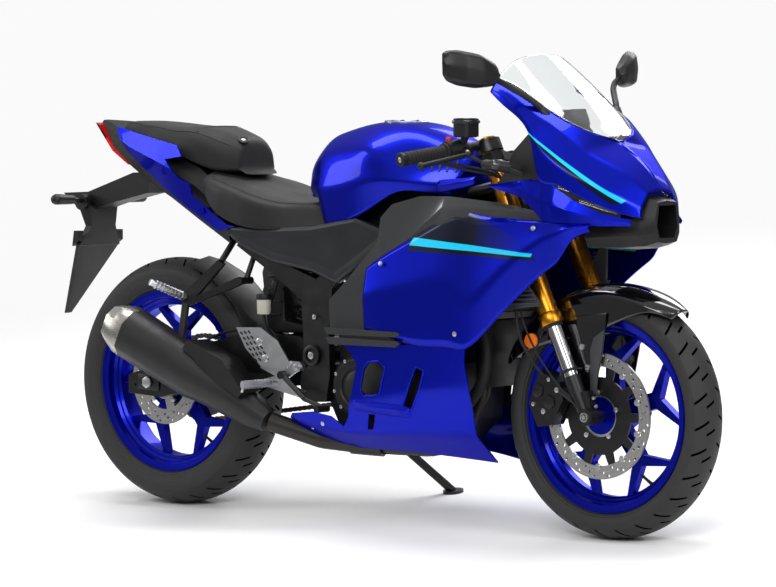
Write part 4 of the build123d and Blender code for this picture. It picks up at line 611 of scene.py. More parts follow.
class MOTO_OT_finishes(bpy.types.Operator):
    """Gives every CAD piece its finish, and softens the edges of castings and mouldings"""
    bl_idname = "moto.finishes"
    bl_label = "Finishes"

    def execute(self, context):
        MATERIALS.update(make_materials())
        for node, item in frame["nodes"].items():
            material, radius = FINISHES[node]
            item.data.materials.clear()
            item.data.materials.append(MATERIALS[material])
            if node in REBUILT:
                continue
            if node in SMOOTH_SKINS:
                edge_finished_copy(node, material, 0, SMOOTH_SKINS[node])
            elif radius:
                edge_finished_copy(node, material, radius * MM)
        return {"FINISHED"}


# ---------------------------------------------------------------- shape helpers
def mm(x, y, z):
    """A point given in millimetres, as a vector in metres."""
    return Vector((x, y, z)) * MM


def turned_to(direction):
    """A turn that takes Z to a direction."""
    return Vector(direction).to_track_quat("Z", "Y").to_matrix().to_4x4()


def around(centre, radius, count, start=0.0):
    """Evenly spaced places on a circle in mm, from a start angle in radians."""
    for i in range(count):
        turn = math.tau * i / count + start
        yield centre[0] + radius * math.cos(turn), centre[1] + radius * math.sin(turn)


def full_width(half):
    """A row of points right across, from a half row that starts at the middle."""
    return [(x, -y, z) for x, y, z in reversed(half[1:])] + list(half)


def rows_from(table, side=1):
    """Rows of (x, y, z) on one side from table rows of x and then (y, z) pairs."""
    return [[(x, side * y, z) for y, z in line] for x, *line in table]


def grid_through(rows):
    """A bmesh grid through rows of points in mm."""
    bm = bmesh.new()
    bmesh.ops.create_grid(bm, x_segments=len(rows[0]) - 1, y_segments=len(rows) - 1, size=1)
    for vert, point in zip(bm.verts, (point for row in rows for point in row)):
        vert.co = mm(*point)
    bm.verts.index_update()
    return bm


def open_edges(bm):
    """The edges at a bmesh's open rims."""
    return [edge for edge in bm.edges if edge.is_boundary]


def face_outwards(bm, centre):
    """Turns a sheet's faces away from a point inside the machine."""
    bmesh.ops.recalc_face_normals(bm, faces=bm.faces)
    total = sum(face.normal.dot(face.calc_center_median() - centre) * face.calc_area() for face in bm.faces)
    if total < 0:
        bmesh.ops.reverse_faces(bm, faces=bm.faces)


def set_creases(bm, columns, creases, ends):
    """Creases along named columns of a grid, and across its first and last rows."""
    layer = bm.edges.layers.float.new("crease_edge")
    for edge in bm.edges:
        first, second = (vert.index for vert in edge.verts)
        if abs(first - second) == columns and first % columns in creases:
            edge[layer] = creases[first % columns]
        if edge.is_boundary and ends:
            edge[layer] = ends


def smooth_skin(piece, levels):
    """Subdivides a cage, and moves its points until the smooth surface passes where they started."""
    subsurf = piece.modifiers.new("smooth_skin", "SUBSURF")
    subsurf.levels = subsurf.render_levels = levels
    subsurf.boundary_smooth = "PRESERVE_CORNERS"
    bpy.context.view_layer.update()
    targets = [vertex.co.copy() for vertex in piece.data.vertices]
    for _ in range(4):
        shown = evaluated(piece)
        mesh = shown.to_mesh()
        steps = [target - mesh.vertices[i].co for i, target in enumerate(targets)]
        shown.to_mesh_clear()
        for vertex, step in zip(piece.data.vertices, steps):
            vertex.co += step
        piece.data.update()
        bpy.context.view_layer.update()


def sheet_piece(name, rows, body, material, centre, creases=None, ends=0.0, wall=None, levels=None,
                closed=False):
    """A smooth panel through rows of points in mm, with creased columns and a wall turned inwards.

    A closed one gets a floor a little under its rim and narrower than it, and no wall.
    """
    bm = grid_through(rows)
    set_creases(bm, len(rows[0]), creases or {}, ends)
    if closed:
        under = bmesh.ops.extrude_edge_only(bm, edges=open_edges(bm))["geom"]
        for vert in (item for item in under if isinstance(item, bmesh.types.BMVert)):
            vert.co = Vector((vert.co.x, vert.co.y * 0.86, vert.co.z - 6 * MM))
        bmesh.ops.holes_fill(bm, edges=open_edges(bm), sides=0)
    face_outwards(bm, mm(*centre))
    piece = link_piece(name, parked_mesh(name, bm), body, material)
    smooth_skin(piece, levels or sizes().skin_levels)
    if not closed:
        solid = piece.modifiers.new("panel_wall", "SOLIDIFY")
        solid.thickness = wall * MM if wall else sizes().panel_wall
        solid.offset = -1.0
    return piece


def side_cutter(outline, y_near, y_far):
    """A prism with a side-view outline in mm, for cutting; not kept."""
    bm = bmesh.new()
    add_plate(bm, outline, y_near, y_far)
    bmesh.ops.recalc_face_normals(bm, faces=bm.faces)
    return new_object("cutter", parked_mesh("cutter", bm))


def trim_piece(piece, keep, windows, side):
    """Cuts a panel to its outline, opens its windows and makes the result its mesh."""
    cutters = []
    for outline in [keep] + windows:
        cut = piece.modifiers.new("cut", "BOOLEAN")
        cut.operation = "DIFFERENCE" if cutters else "INTERSECT"
        cut.object = side_cutter(outline, side * 20, side * 290)
        cut.solver = "EXACT"
        cutters.append(cut.object)
    bpy.context.view_layer.update()
    mesh = bpy.data.meshes.new_from_object(evaluated(piece))
    piece.modifiers.clear()
    piece.data = mesh
    for cutter in cutters:
        bpy.data.objects.remove(cutter)
    bm = bmesh.new()
    bm.from_mesh(mesh)
    sharpen_edges(bm, 35)
    bm.to_mesh(mesh)
    bm.free()


def rounded_body(name, rings, body, material, crease):
    """A smooth closed body through rings of points in mm."""
    bm = grid_through([ring + ring[:1] for ring in rings])
    bmesh.ops.remove_doubles(bm, verts=bm.verts, dist=0.00001)
    bmesh.ops.holes_fill(bm, edges=open_edges(bm), sides=0)
    bmesh.ops.recalc_face_normals(bm, faces=bm.faces)
    layer = bm.edges.layers.float.new("crease_edge")
    for edge in bm.edges:
        edge[layer] = crease
    piece = link_piece(name, parked_mesh(name, bm), body, material)
    smooth_skin(piece, 3)
    return piece


def add_rod(bm, start, end, radius, end_radius=None, segments=20, edge=0.0):
    """A round bar between two points in mm, with its end edges rounded."""
    start, end = mm(*start), mm(*end)
    end_radius = radius if end_radius is None else end_radius
    made = bmesh.ops.create_cone(bm, cap_ends=True, segments=segments, radius1=radius * MM,
                                 radius2=end_radius * MM, depth=(end - start).length,
                                 matrix=Matrix.Translation((start + end) / 2) @ turned_to(end - start))
    if edge:
        caps = {e for v in made["verts"] for e in v.link_edges if any(len(f.verts) > 4 for f in e.link_faces)}
        round_edges(bm, caps, edge)


def add_bolt(bm, place, direction, radius, height):
    """A bolt: a round head with a rounded edge and a smaller hexagon on its top."""
    start = Vector(place)
    way = Vector(direction).normalized()
    add_rod(bm, start - way, start + way * height, radius, segments=18, edge=min(0.6, height * 0.3))
    bmesh.ops.create_cone(bm, cap_ends=True, segments=6, radius1=radius * 0.5 * MM,
                          radius2=radius * 0.42 * MM, depth=height * 0.5 * MM,
                          matrix=Matrix.Translation((start + way * height) * MM) @ turned_to(way))


def add_ring(bm, centre, direction, profile, segments=48):
    """A turned ring: a closed profile of (distance along the axis, radius) in mm spun round it."""
    verts = [bm.verts.new(mm(radius, 0, along)) for along, radius in profile]
    face = bm.faces.new(verts)
    made = bmesh.ops.spin(bm, geom=[face] + face.edges[:] + verts, axis=(0, 0, 1), cent=(0, 0, 0),
                          steps=segments, angle=math.tau, use_merge=True)
    island = set(verts) | {item for item in made["geom_last"] if isinstance(item, bmesh.types.BMVert)}
    stack = list(island)
    while stack:
        vert = stack.pop()
        for other in (edge.other_vert(vert) for edge in vert.link_edges):
            if other not in island:
                island.add(other)
                stack.append(other)
    live = [vert for vert in island if vert.is_valid]
    bmesh.ops.transform(bm, matrix=Matrix.Translation(mm(*centre)) @ turned_to(direction), verts=live)
    if face.is_valid:
        bm.faces.remove(face)
    bmesh.ops.remove_doubles(bm, verts=[vert for vert in live if vert.is_valid], dist=0.00001)


def add_cup(bm, centre, half_x, half_y, z_low, z_high, foot, edge):
    """An upright cup of rounded-square plan in mm over a centre, its foot scaled by a share."""
    sides = 32
    rings = []
    for z, scale in ((z_low, foot), (z_high, 1.0)):
        ring = []
        for way in around((0, 0), 1, sides):
            x, y = (math.copysign(abs(share) ** 0.45, share) for share in way)
            place = (centre[0] + x * half_x * scale, centre[1] + y * half_y * scale, centre[2] + z)
            ring.append(bm.verts.new(mm(*place)))
        rings.append(ring)
    for i in range(sides):
        j = (i + 1) % sides
        bm.faces.new((rings[0][i], rings[0][j], rings[1][j], rings[1][i]))
    ends = [bm.faces.new(ring) for ring in rings]
    round_edges(bm, [e for face in ends for e in face.edges], edge, 3)


def add_plate(bm, outline, y_near, y_far, edge=0.0, segments=2):
    """A flat plate with a side-view outline of (x, z) in mm between two y values, edges rounded."""
    y_low, y_high = sorted((y_near, y_far))
    verts = [bm.verts.new(mm(x, y_low, z)) for x, z in outline]
    made = bmesh.ops.extrude_face_region(bm, geom=[bm.faces.new(verts)])
    top = [item for item in made["geom"] if isinstance(item, bmesh.types.BMVert)]
    bmesh.ops.translate(bm, vec=(0, (y_high - y_low) * MM, 0), verts=top)
    if edge:
        round_edges(bm, {e for v in verts + top for e in v.link_edges}, edge, segments)


def solid_piece(name, bm, body, material, smooth_angle=35):
    """Closes a bmesh of solids into a piece with smooth round faces and sharp edges."""
    bmesh.ops.recalc_face_normals(bm, faces=bm.faces)
    sharpen_edges(bm, smooth_angle)
    # Spun rings have faces inside, and need a second pass.
    bmesh.ops.recalc_face_normals(bm, faces=bm.faces)
    return link_piece(name, parked_mesh(name, bm), body, material)


def tube_piece(name, points, radius, body, material, resolution=6):
    """A round tube along a smooth line through the machine, points in mm, made a mesh."""
    data = bpy.data.curves.new(name, "CURVE")
    data.dimensions = "3D"
    spline = data.splines.new("NURBS")
    spline.points.add(len(points) - 1)
    for point, place in zip(spline.points, points):
        point.co = (*(PARK @ mm(*place)), 1.0)
    spline.order_u = 3
    spline.use_endpoint_u = True
    spline.resolution_u = resolution
    data.bevel_depth = radius * MM
    data.bevel_resolution = 3
    data.use_fill_caps = True
    maker = new_object(name + "_line", data)
    bpy.context.view_layer.update()
    mesh = bpy.data.meshes.new_from_object(evaluated(maker))
    bpy.data.objects.remove(maker)
    for polygon in mesh.polygons:
        polygon.use_smooth = True
    return link_piece(name, mesh, body, material)


def search_tree(mesh):
    """Search tree of a mesh's surface."""
    places = [vertex.co.copy() for vertex in mesh.vertices]
    return BVHTree.FromPolygons(places, [polygon.vertices[:] for polygon in mesh.polygons])


def surface_of(piece):
    """Search tree of a finished piece's surface, in the parked frame."""
    shown = evaluated(piece)
    tree = search_tree(shown.to_mesh())
    shown.to_mesh_clear()
    return tree


def on_surface(tree, point, lift=0.0):
    """The nearest place on a surface to a point in mm, lifted by some mm; in mm, upright."""
    place, normal, _, _ = tree.find_nearest(PARK @ mm(*point))
    return tuple((UPRIGHT @ (place + normal * lift * MM)) / MM)


def between(start, end, count):
    """Evenly spaced points from start to end, both included."""
    return [tuple(a + (b - a) * i / (count - 1) for a, b in zip(start, end)) for i in range(count)]


def polyline(points, spacing):
    """Points along straight runs at about this spacing in mm."""
    out = []
    for a, b in zip(points, points[1:]):
        count = max(2, int((Vector(b) - Vector(a)).length / spacing) + 1)
        out += between(a, b, count)[:-1]
    return out + [tuple(points[-1])]


# ---------------------------------------------------------------- seats, tank, cowls
class MOTO_OT_seats(bpy.types.Operator):
    """Builds both seats with their covers, seams, stitches and the seat lock"""
    bl_idname = "moto.seats"
    bl_label = "Seats"

    def execute(self, context):
        rider = self.pad("rider_seat_cover", RIDER_SEAT_ROWS, "rider_seat", (380, 0, 700))
        pillion = self.pad("pillion_seat_cover", PILLION_SEAT_ROWS, "pillion_seat", (40, 0, 880))
        rider_tree, pillion_tree = surface_of(rider), surface_of(pillion)
        for side, tag in SIDES:
            self.seam("rider_seat_seam_" + tag, rider_tree,
                      [(190, side * 112, 838), (276, side * 134, 816), (350, side * 136, 792),
                       (427, side * 122, 776), (500, side * 96, 770), (570, side * 74, 762)])
            self.seam("pillion_seat_seam_" + tag, pillion_tree,
                      [(-150, side * 34, 966), (-60, side * 74, 962), (60, side * 88, 948),
                       (132, side * 88, 946), (205, side * 76, 922), (246, side * 54, 902)])
        self.seam("rider_seat_rear_seam", rider_tree, [(206, -112, 838), (216, 0, 850), (206, 112, 838)])
        self.seam("rider_seat_front_seam", rider_tree, [(520, -90, 768), (512, 0, 780), (520, 90, 768)])
        self.seam("pillion_seat_front_seam", pillion_tree, [(128, -84, 946), (140, 0, 966), (128, 84, 946)])
        self.lock(pillion_tree)
        return {"FINISHED"}

    def lock(self, tree):
        """The seat lock's ring and barrel on the pillion seat's front slope."""
        place = Vector(on_surface(tree, (232, -34, 918), 0.5))
        way = Vector((0.45, -0.35, 0.82))
        bm = bmesh.new()
        add_ring(bm, place, way, [(-2, 8), (-2, 15), (2.2, 15), (3.4, 13.6), (3.4, 9.4), (2.4, 8)])
        add_rod(bm, place, place + way * 1.8, 8.2)
        solid_piece("seat_lock_ring", bm, "root", "black_alloy")
        bm = bmesh.new()
        add_rod(bm, place + way * 1.2, place + way * 3.0, 5.2, edge=0.4)
        solid_piece("seat_lock_barrel", bm, "root", "bare_alloy")

    def pad(self, name, table, node, centre):
        """One moulded foam seat under a stretched cover."""
        rows = [full_width(row) for row in rows_from(table)]
        first = [(x - 4, y * 0.9, min(z, table[0][-1][1]) - 2) for x, y, z in rows[0]]
        last = [(x + 4, y * 0.9, min(z, table[-1][-1][1]) - 2) for x, y, z in rows[-1]]
        piece = sheet_piece(name, [first] + rows + [last], "root", "seat_cover", centre, closed=True,
                            creases={1: 0.35, 5: 0.35, 0: 0.6, 6: 0.6})
        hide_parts(node)
        return piece

    def seam(self, name, tree, points):
        """A sewn seam: thin piping sunk in the cover with a row of stitches beside it."""
        line = [on_surface(tree, p, 0.3) for p in polyline(points, 18)]
        tube_piece(name, line, sizes().piping_radius / MM, "root", "seat_piping")
        bm = bmesh.new()
        dense = [Vector(on_surface(tree, p, 0.7)) for p in polyline(line, sizes().stitch_pitch / MM)]
        for a, b in zip(dense, dense[1:]):
            side = (b - a).cross(Vector((0, 0, 1))).normalized() * 4.5
            if (b - a).length > 3:
                add_rod(bm, a + side, a + (b - a) * 0.6 + side, 0.55, segments=5)
        solid_piece(name + "_stitches", bm, "root", "seat_thread")


class MOTO_OT_tank(bpy.types.Operator):
    """Builds the fuel tank cover with its forward wings, vents and filler ring"""
    bl_idname = "moto.tank"
    bl_label = "Fuel tank"

    def execute(self, context):
        rows = [full_width(row) for row in rows_from(TANK_ROWS)]
        first = [(x - 2, y * 0.95, min(z, 792)) for x, y, z in rows[0]]
        last = [(x + 3, y * 0.97, min(z, 806)) for x, y, z in rows[-1]]
        tank = sheet_piece("fuel_tank_cover", [first] + rows + [last], "root", "blue_paint", (730, 0, 800),
                           creases={1: 0.55, 7: 0.55, 2: 0.35, 6: 0.35}, wall=2.5)
        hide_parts("fuel_tank")
        tree = surface_of(tank)
        for side, tag in SIDES:
            sheet_piece("fuel_tank_wing_" + tag, rows_from(TANK_WING_ROWS, side), "root", "blue_paint",
                        (1020, 0, 780), creases={1: 0.8, 2: 0.5}, ends=0.6, wall=2.5)
            self.vents(tree, side, tag)
        self.filler(tree)
        return {"FINISHED"}

    def vents(self, tree, side, tag):
        """Five dark vents on the tank's shoulder, bent to its surface."""
        bm = bmesh.new()
        for i in range(5):
            x = 896 + 19 * i
            high = on_surface(tree, (x - 9, side * (92 - 5.5 * i), 898 - 4 * i), -1.2)
            low = on_surface(tree, (x + 9, side * (132 - 6.5 * i), 862 - 1.5 * i), -1.2)
            middle = on_surface(tree, (Vector(high) + Vector(low)) / 2, -1.2)
            add_rod(bm, high, middle, 3.2, segments=12)
            add_rod(bm, middle, low, 3.2, segments=12)
        solid_piece("fuel_tank_vents_" + tag, bm, "root", "black_plastic")

    def filler(self, tree):
        """The ring round the filler cap and the cap's screws."""
        bm = bmesh.new()
        add_ring(bm, on_surface(tree, (742, 0, 980)), (0.02, 0, 1),
                 [(-3, 46), (-3, 54), (0.2, 54), (1.2, 52.5), (1.2, 46.5)], segments=64)
        solid_piece("filler_ring", bm, "root", "bare_alloy")
        bm = bmesh.new()
        low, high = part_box("filler_cap")
        top = (UPRIGHT @ Vector(((low[0] + high[0]) / 2, (low[1] + high[1]) / 2, high[2]))) / MM
        for x, y in around((top.x, 0), 33, 5):
            add_bolt(bm, (x, y, top.z - 6), (0, 0, 1), 3.2, 3.0)
        solid_piece("filler_cap_screws", bm, "fuel_cap", "black_alloy")


class MOTO_OT_cowls(bpy.types.Operator):
    """Builds the cowls, screen, side panels, mirrors, frame covers, lamp strips, louvres and lenses"""
    bl_idname = "moto.cowls"
    bl_label = "Cowls"

    def execute(self, context):
        for side, tag in SIDES:
            nose = sheet_piece("nose_cowl_" + tag, rows_from(UPPER_COWL_ROWS, side), "root", "blue_striped",
                               (1250, 0, 850), creases={0: 1.0, 1: 0.75, 2: 0.9, 3: 1.0})
            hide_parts("upper_cowl")
        screen = sheet_piece("clear_windscreen", [full_width(half) for half in SCREEN_CAGE], "root",
                             "clear_screen", (1200, 0, 900), creases={1: 0.3, 3: 0.3})
        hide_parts("windscreen")
        for side, tag in SIDES:
            panel = sheet_piece("side_panel_skin_" + tag, rows_from(SIDE_PANEL_ROWS, side), "root",
                                "blue_side_striped", (1100, 0, 650),
                                creases={0: 1.0, 1: 0.9, 2: 1.0}, wall=3.5)
            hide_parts("side_panels")
            self.lower_cowl(side, tag)
            self.mirror(side, tag)
            self.frame_cover(side, tag)
        self.lamps()
        self.louvres()
        self.panel_screws()
        self.indicator_lenses()
        return {"FINISHED"}

    def lower_cowl(self, side, tag):
        """Lower cowl skin cut to its outline, with its openings, their lips, a ledge and a black plate behind the
        openings that paints the shade in them.
        """
        skin = sheet_piece("lower_cowl_" + tag, rows_from(LOWER_COWL_ROWS, side), "root", "blue_paint",
                           (850, 0, 330), creases={1: 0.85, 2: 0.85}, wall=3.5)
        windows = [COWL_WINDOW, COWL_SLOT, COWL_DRAIN]
        if side > 0:
            windows.append(COWL_REAR_CUT)
        trim_piece(skin, LOWER_COWL_OUTLINE, windows, side)
        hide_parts("lower_cowls")
        tree = surface_of(skin)
        outer_y = side * 204
        for number, loop in enumerate((COWL_WINDOW, COWL_SLOT)):
            middle = Vector(loop[0]).lerp(Vector(loop[len(loop) // 2]), 0.5)
            grown = [Vector(p) + (Vector(p) - middle).normalized() * 4 for p in loop + loop[:1]]
            line = [on_surface(tree, (p.x, outer_y, p.y), 0.4) for p in grown]
            tube_piece("lower_cowl_lip_%d_%s" % (number, tag), polyline(line, 9), 2.6, "root", "blue_paint")
        ledge = []
        for x, drop, out in ((724, 0, 2), (742, 1, 7), (820, 5, 9), (890, 9, 8), (908, 10, 1)):
            ledge.append([on_surface(tree, (x, outer_y, 306 - drop - below), lift * out / 9)
                          for below, lift in ((0, 0.3), (9, 9), (17, 8), (30, 0.3))])
        sheet_piece("lower_cowl_ledge_" + tag, ledge, "root", "blue_paint", (850, 0, 330),
                    creases={1: 0.7, 2: 0.4}, wall=1.5)
        # Painted shade: a black plate behind the window and slot makes the openings dark.
        bm = bmesh.new()
        add_plate(bm, [(735, 430), (960, 425), (940, 280), (730, 300)], side * 150, side * 158, edge=2)
        solid_piece("lower_cowl_shade_plate_" + tag, bm, "root", "black_plastic")

    def mirror(self, side, tag):
        """Mirror: a rounded housing with its glass behind, on a bent stem."""
        rings = []
        for y, front, rear, top, low in MIRROR_ROWS:
            middle_z, middle_x = (top + low) / 2, (front + rear) / 2
            ring = [(rear + 2, top - 1), (middle_x + 3, top - 2), (front - 5, top - 12), (front, middle_z),
                    (front - 4, low + 9), (middle_x + 2, low + 2), (rear + 3, low + 1), (rear + 2, middle_z)]
            rings.append([(x, side * y, z) for x, z in ring])
        housing = rounded_body("mirror_housing_" + tag, rings, "root", "black_plastic", 0.4)
        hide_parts("mirrors")
        stem = tube_piece("mirror_stem_" + tag, [(x, side * y, z) for x, y, z in MIRROR_STEM], 7.5, "root",
                          "black_plastic")
        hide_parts("mirrors")
        bm = bmesh.new()
        add_rod(bm, (1281, side * 137, 991), (1272, side * 146, 1014), 15, 10, edge=2)
        foot = solid_piece("mirror_foot_" + tag, bm, "root", "black_plastic")
        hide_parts("mirrors")
        glass_rows = [[(rear - 0.2, side * y, top - 7), (rear - 0.6, side * y, (top + low) / 2),
                       (rear + 0.4, side * y, low + 7)] for y, _, rear, top, low in MIRROR_GLASS_ROWS]
        sheet_piece("mirror_glass_" + tag, glass_rows, "root", "mirror", (1250, side * 300, 1100),
                    wall=1.0, levels=2)

    def frame_cover(self, side, tag):
        """Moulded frame cover with a raised field and rounded borders, and the dark infill under the tank."""
        bm = bmesh.new()
        add_plate(bm, FRAME_COVER_OUTLINE, side * 128, side * 147)
        outer = max(bm.faces, key=lambda f: side * f.calc_center_median().y * (len(f.verts) > 6))
        for thickness, depth in ((9, 5), (16, -2.5)):
            bmesh.ops.inset_region(bm, faces=[outer], thickness=thickness * MM, depth=depth * MM,
                                   use_even_offset=True)
        round_edges(bm, bm.edges, 2.4, 3, clamp_overlap=True)
        cover = solid_piece("frame_cover_" + tag, bm, "root", "grey_plastic", smooth_angle=28)
        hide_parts("frame_covers")
        bm = bmesh.new()
        add_plate(bm, FRAME_INFILL_OUTLINE, side * 92, side * 98, edge=2)
        solid_piece("frame_infill_" + tag, bm, "root", "black_plastic")

    def lamps(self):
        """Two clear light strips on each headlamp."""
        tree = search_tree(frame["nodes"]["headlamps"].data)
        for side, tag in SIDES:
            for number, (start, end, size) in enumerate(HEADLAMP_STRIPS):
                line = [on_surface(tree, (x, side * y, z), 1.0) for x, y, z in between(start, end, 7)]
                tube_piece("headlamp_strip_%d_%s" % (number, tag), line, size, "root", "lamp_clear")

    def louvres(self):
        """Stacked air blades between the side panel and the fork, each side."""
        for side, tag in SIDES:
            bm = bmesh.new()
            add_plate(bm, [(1176, 540), (1280, 552), (1238, 600), (1240, 672), (1222, 684), (1180, 612)],
                      side * 150, side * 158, edge=1.0)
            for i in range(12):
                rear, z = 1172 + 2 * i, 552 + 10 * i
                front = max(1236, 1277 - 0.875 * (z - 552))
                add_plate(bm, [(rear, z), (front, z + 4), (front, z + 8), (rear, z + 4)],
                          side * 157, side * 163, edge=0.5, segments=1)
            solid_piece("air_louvres_" + tag, bm, "root", "fin_grey")

    def panel_screws(self):
        """Button screws that hold the panels; the first one is on the right side only."""
        bm = bmesh.new()
        for side, _ in SIDES:
            for (x, y, z), (way_x, way_y, way_z) in PANEL_SCREWS[1 if side > 0 else 0:]:
                add_bolt(bm, (x, side * y, z), (way_x, side * way_y, way_z), 6.0, 2.2)
        solid_piece("panel_screws", bm, "root", "bare_alloy")

    def indicator_lenses(self):
        """Clear lenses on the four indicators."""
        for side, tag in SIDES:
            bm = bmesh.new()
            add_ring(bm, (1206, side * 216, 880), (-0.25, side * 0.95, 0.1),
                     [(0, 0.1), (0, 14.6), (26, 13.2), (34, 9), (37, 0.1)], 32)
            solid_piece("front_indicator_lens_" + tag, bm, "root", "lamp_clear")
            bm = bmesh.new()
            add_ring(bm, (-295, side * 104, 771), (0.06, side * 1.0, 0.03),
                     [(0, 0.1), (0, 12.6), (20, 13.4), (56, 14.6), (66, 11), (70.5, 0.1)], 32)
            bmesh.ops.bisect_plane(bm, geom=bm.verts[:] + bm.edges[:] + bm.faces[:], dist=0.00001,
                                   plane_co=mm(-296, 0, 771), plane_no=(1, 0, 0), clear_outer=True)
            bmesh.ops.holes_fill(bm, edges=open_edges(bm), sides=0)
            solid_piece("rear_indicator_lens_" + tag, bm, "root", "lamp_clear")


# ---------------------------------------------------------------- steering side
class MOTO_OT_front_end(bpy.types.Operator):
    """Builds the front mudguard, reflectors, fork collars, brake trim, hoses, cables and bar details"""
    bl_idname = "moto.front_end"
    bl_label = "Front end"

    def execute(self, context):
        self.fender()
        self.reflectors()
        self.fork_trim()
        self.brake_trim()
        self.bars()
        self.cables()
        return {"FINISHED"}

    def fender(self):
        """Gloss black mudguard skin with a lobe and two screws each side; a grey strip on each lobe's front edge
        is a painted reflection.
        """
        hub_x, hub_z = FRONT_HUB
        rows = []
        for degrees, crown, half, depth in FENDER_ROWS:
            turn = math.radians(degrees)
            ring = [(0, crown), (0.62 * half, crown - 6), (half, crown - 24), (half + 1, crown - 24 - depth)]
            rows.append(full_width([(hub_x + radius * math.cos(turn), y, hub_z + radius * math.sin(turn))
                                    for y, radius in ring]))
        skin = sheet_piece("front_mudguard_skin", rows, "steering", "gloss_black", (hub_x, 0, hub_z),
                           creases={1: 0.45, 5: 0.45})
        for side, tag in SIDES:
            bm = bmesh.new()
            add_plate(bm, FENDER_LOBE, side * 70.4, side * 74.4, edge=1.6, segments=3)
            for x, y, z in FENDER_ARMS:
                add_rod(bm, (x, side * 72, z), (x, side * y, z), 7)
            lobe = solid_piece("front_mudguard_lobe_" + tag, bm, "steering", "gloss_black")
            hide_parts("front_fender")
            # Painted reflection: a thin grey strip on the lobe's front edge stands in for the light that the gloss
            # black reflects there.
            bm = bmesh.new()
            add_plate(bm, FENDER_EDGE_REFLECTION, side * 74.2, side * 76.4, edge=0.9, segments=2)
            solid_piece("front_mudguard_edge_reflection_" + tag, bm, "steering", "fin_grey")
        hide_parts("front_fender")
        bm = bmesh.new()
        for side, _ in SIDES:
            for x, z in ((1339, 454.6), (1355, 406.6)):
                add_bolt(bm, (x, side * 74.2, z), (0, side, 0), 7.0, 4.5)
        solid_piece("front_mudguard_screws", bm, "steering", "bare_alloy")

    def reflectors(self):
        """Amber reflectors beside the fork, on their holders."""
        for side, tag in SIDES:
            bm = bmesh.new()
            add_rod(bm, (1219, side * 112, 466), (1219, side * 121, 466), 17.5, segments=40, edge=1.6)
            solid_piece("fork_reflector_" + tag, bm, "steering", "lamp_amber")
            bm = bmesh.new()
            add_rod(bm, (1219, side * 108, 466), (1219, side * 113, 466), 18.8, segments=40, edge=0.8)
            add_plate(bm, [(1212, 458), (1226, 454), (1262, 508), (1250, 518)], side * 104, side * 109,
                      edge=1.0)
            solid_piece("fork_reflector_holder_" + tag, bm, "steering", "black_plastic")

    def fork_trim(self):
        """Lower collars, dust seals and clamp rings on both fork legs, and the pinch bolts."""
        gold, black, bolts = bmesh.new(), bmesh.new(), bmesh.new()
        for side, _ in SIDES:
            add_ring(gold, fork_line(505, side), STEER_WAY,
                     [(0, 24.2), (0, 26.8), (2, 27.8), (26, 27.8), (30, 25.6), (30, 24.2)])
            add_ring(black, fork_line(499, side), STEER_WAY,
                     [(0, 18.7), (0, 22.5), (3, 23.6), (7, 23.6), (7, 18.7)])
            add_ring(black, fork_line(398, side), STEER_WAY, [(-3, 18.7), (-3, 21.6), (3, 21.6), (3, 18.7)])
            top = fork_line(936, side)
            add_ring(gold, top, STEER_WAY, [(0, 6), (0, 23), (2.5, 23), (4, 21), (4, 6)])
            add_rod(bolts, top, fork_line(944, side), 7, segments=6)
            for z in (880, 715):
                x, y, height = fork_line(z, side)
                add_bolt(bolts, (x + 22, y - side * 22, height - 4), (0.9, -side * 0.2, 0.4), 4.5, 10)
            for z in (348, 366):
                add_bolt(bolts, (1396 - (z - 348) * 0.4, side * 100, z - 30), (0.9, 0, 0.35), 4.5, 6)
            add_bolt(bolts, (1380, side * 119, 293), (0, side, 0), 11, 5)
        solid_piece("fork_collars", gold, "steering", "gold_alloy")
        solid_piece("fork_dust_seals", black, "steering", "grip_rubber")
        solid_piece("fork_bolts", bolts, "steering", "bare_alloy")

    def brake_trim(self):
        """Caliper bolts and piston caps, brake hose and sensor lead."""
        bm = bmesh.new()
        for x, z, radius in ((1286, 352, 6.5), (1246, 300, 6.5), (1262, 376, 5), (1216, 316, 5)):
            add_bolt(bm, (x, -101, z), (0, -1, 0), radius, 5)
        solid_piece("front_caliper_bolts", bm, "steering", "bare_alloy")
        bm = bmesh.new()
        for x, z in ((1228, 348), (1262, 322)):
            add_rod(bm, (x, -100, z), (x, -105.5, z), 17, 15.5, segments=32, edge=1.4)
        solid_piece("front_caliper_pistons", bm, "steering", "black_alloy")
        tube_piece("front_brake_hose", FRONT_BRAKE_HOSE, 4.2, "steering", "grip_rubber")
        tube_piece("front_sensor_lead", FRONT_SENSOR_LEAD, 2.4, "steering", "grip_rubber")

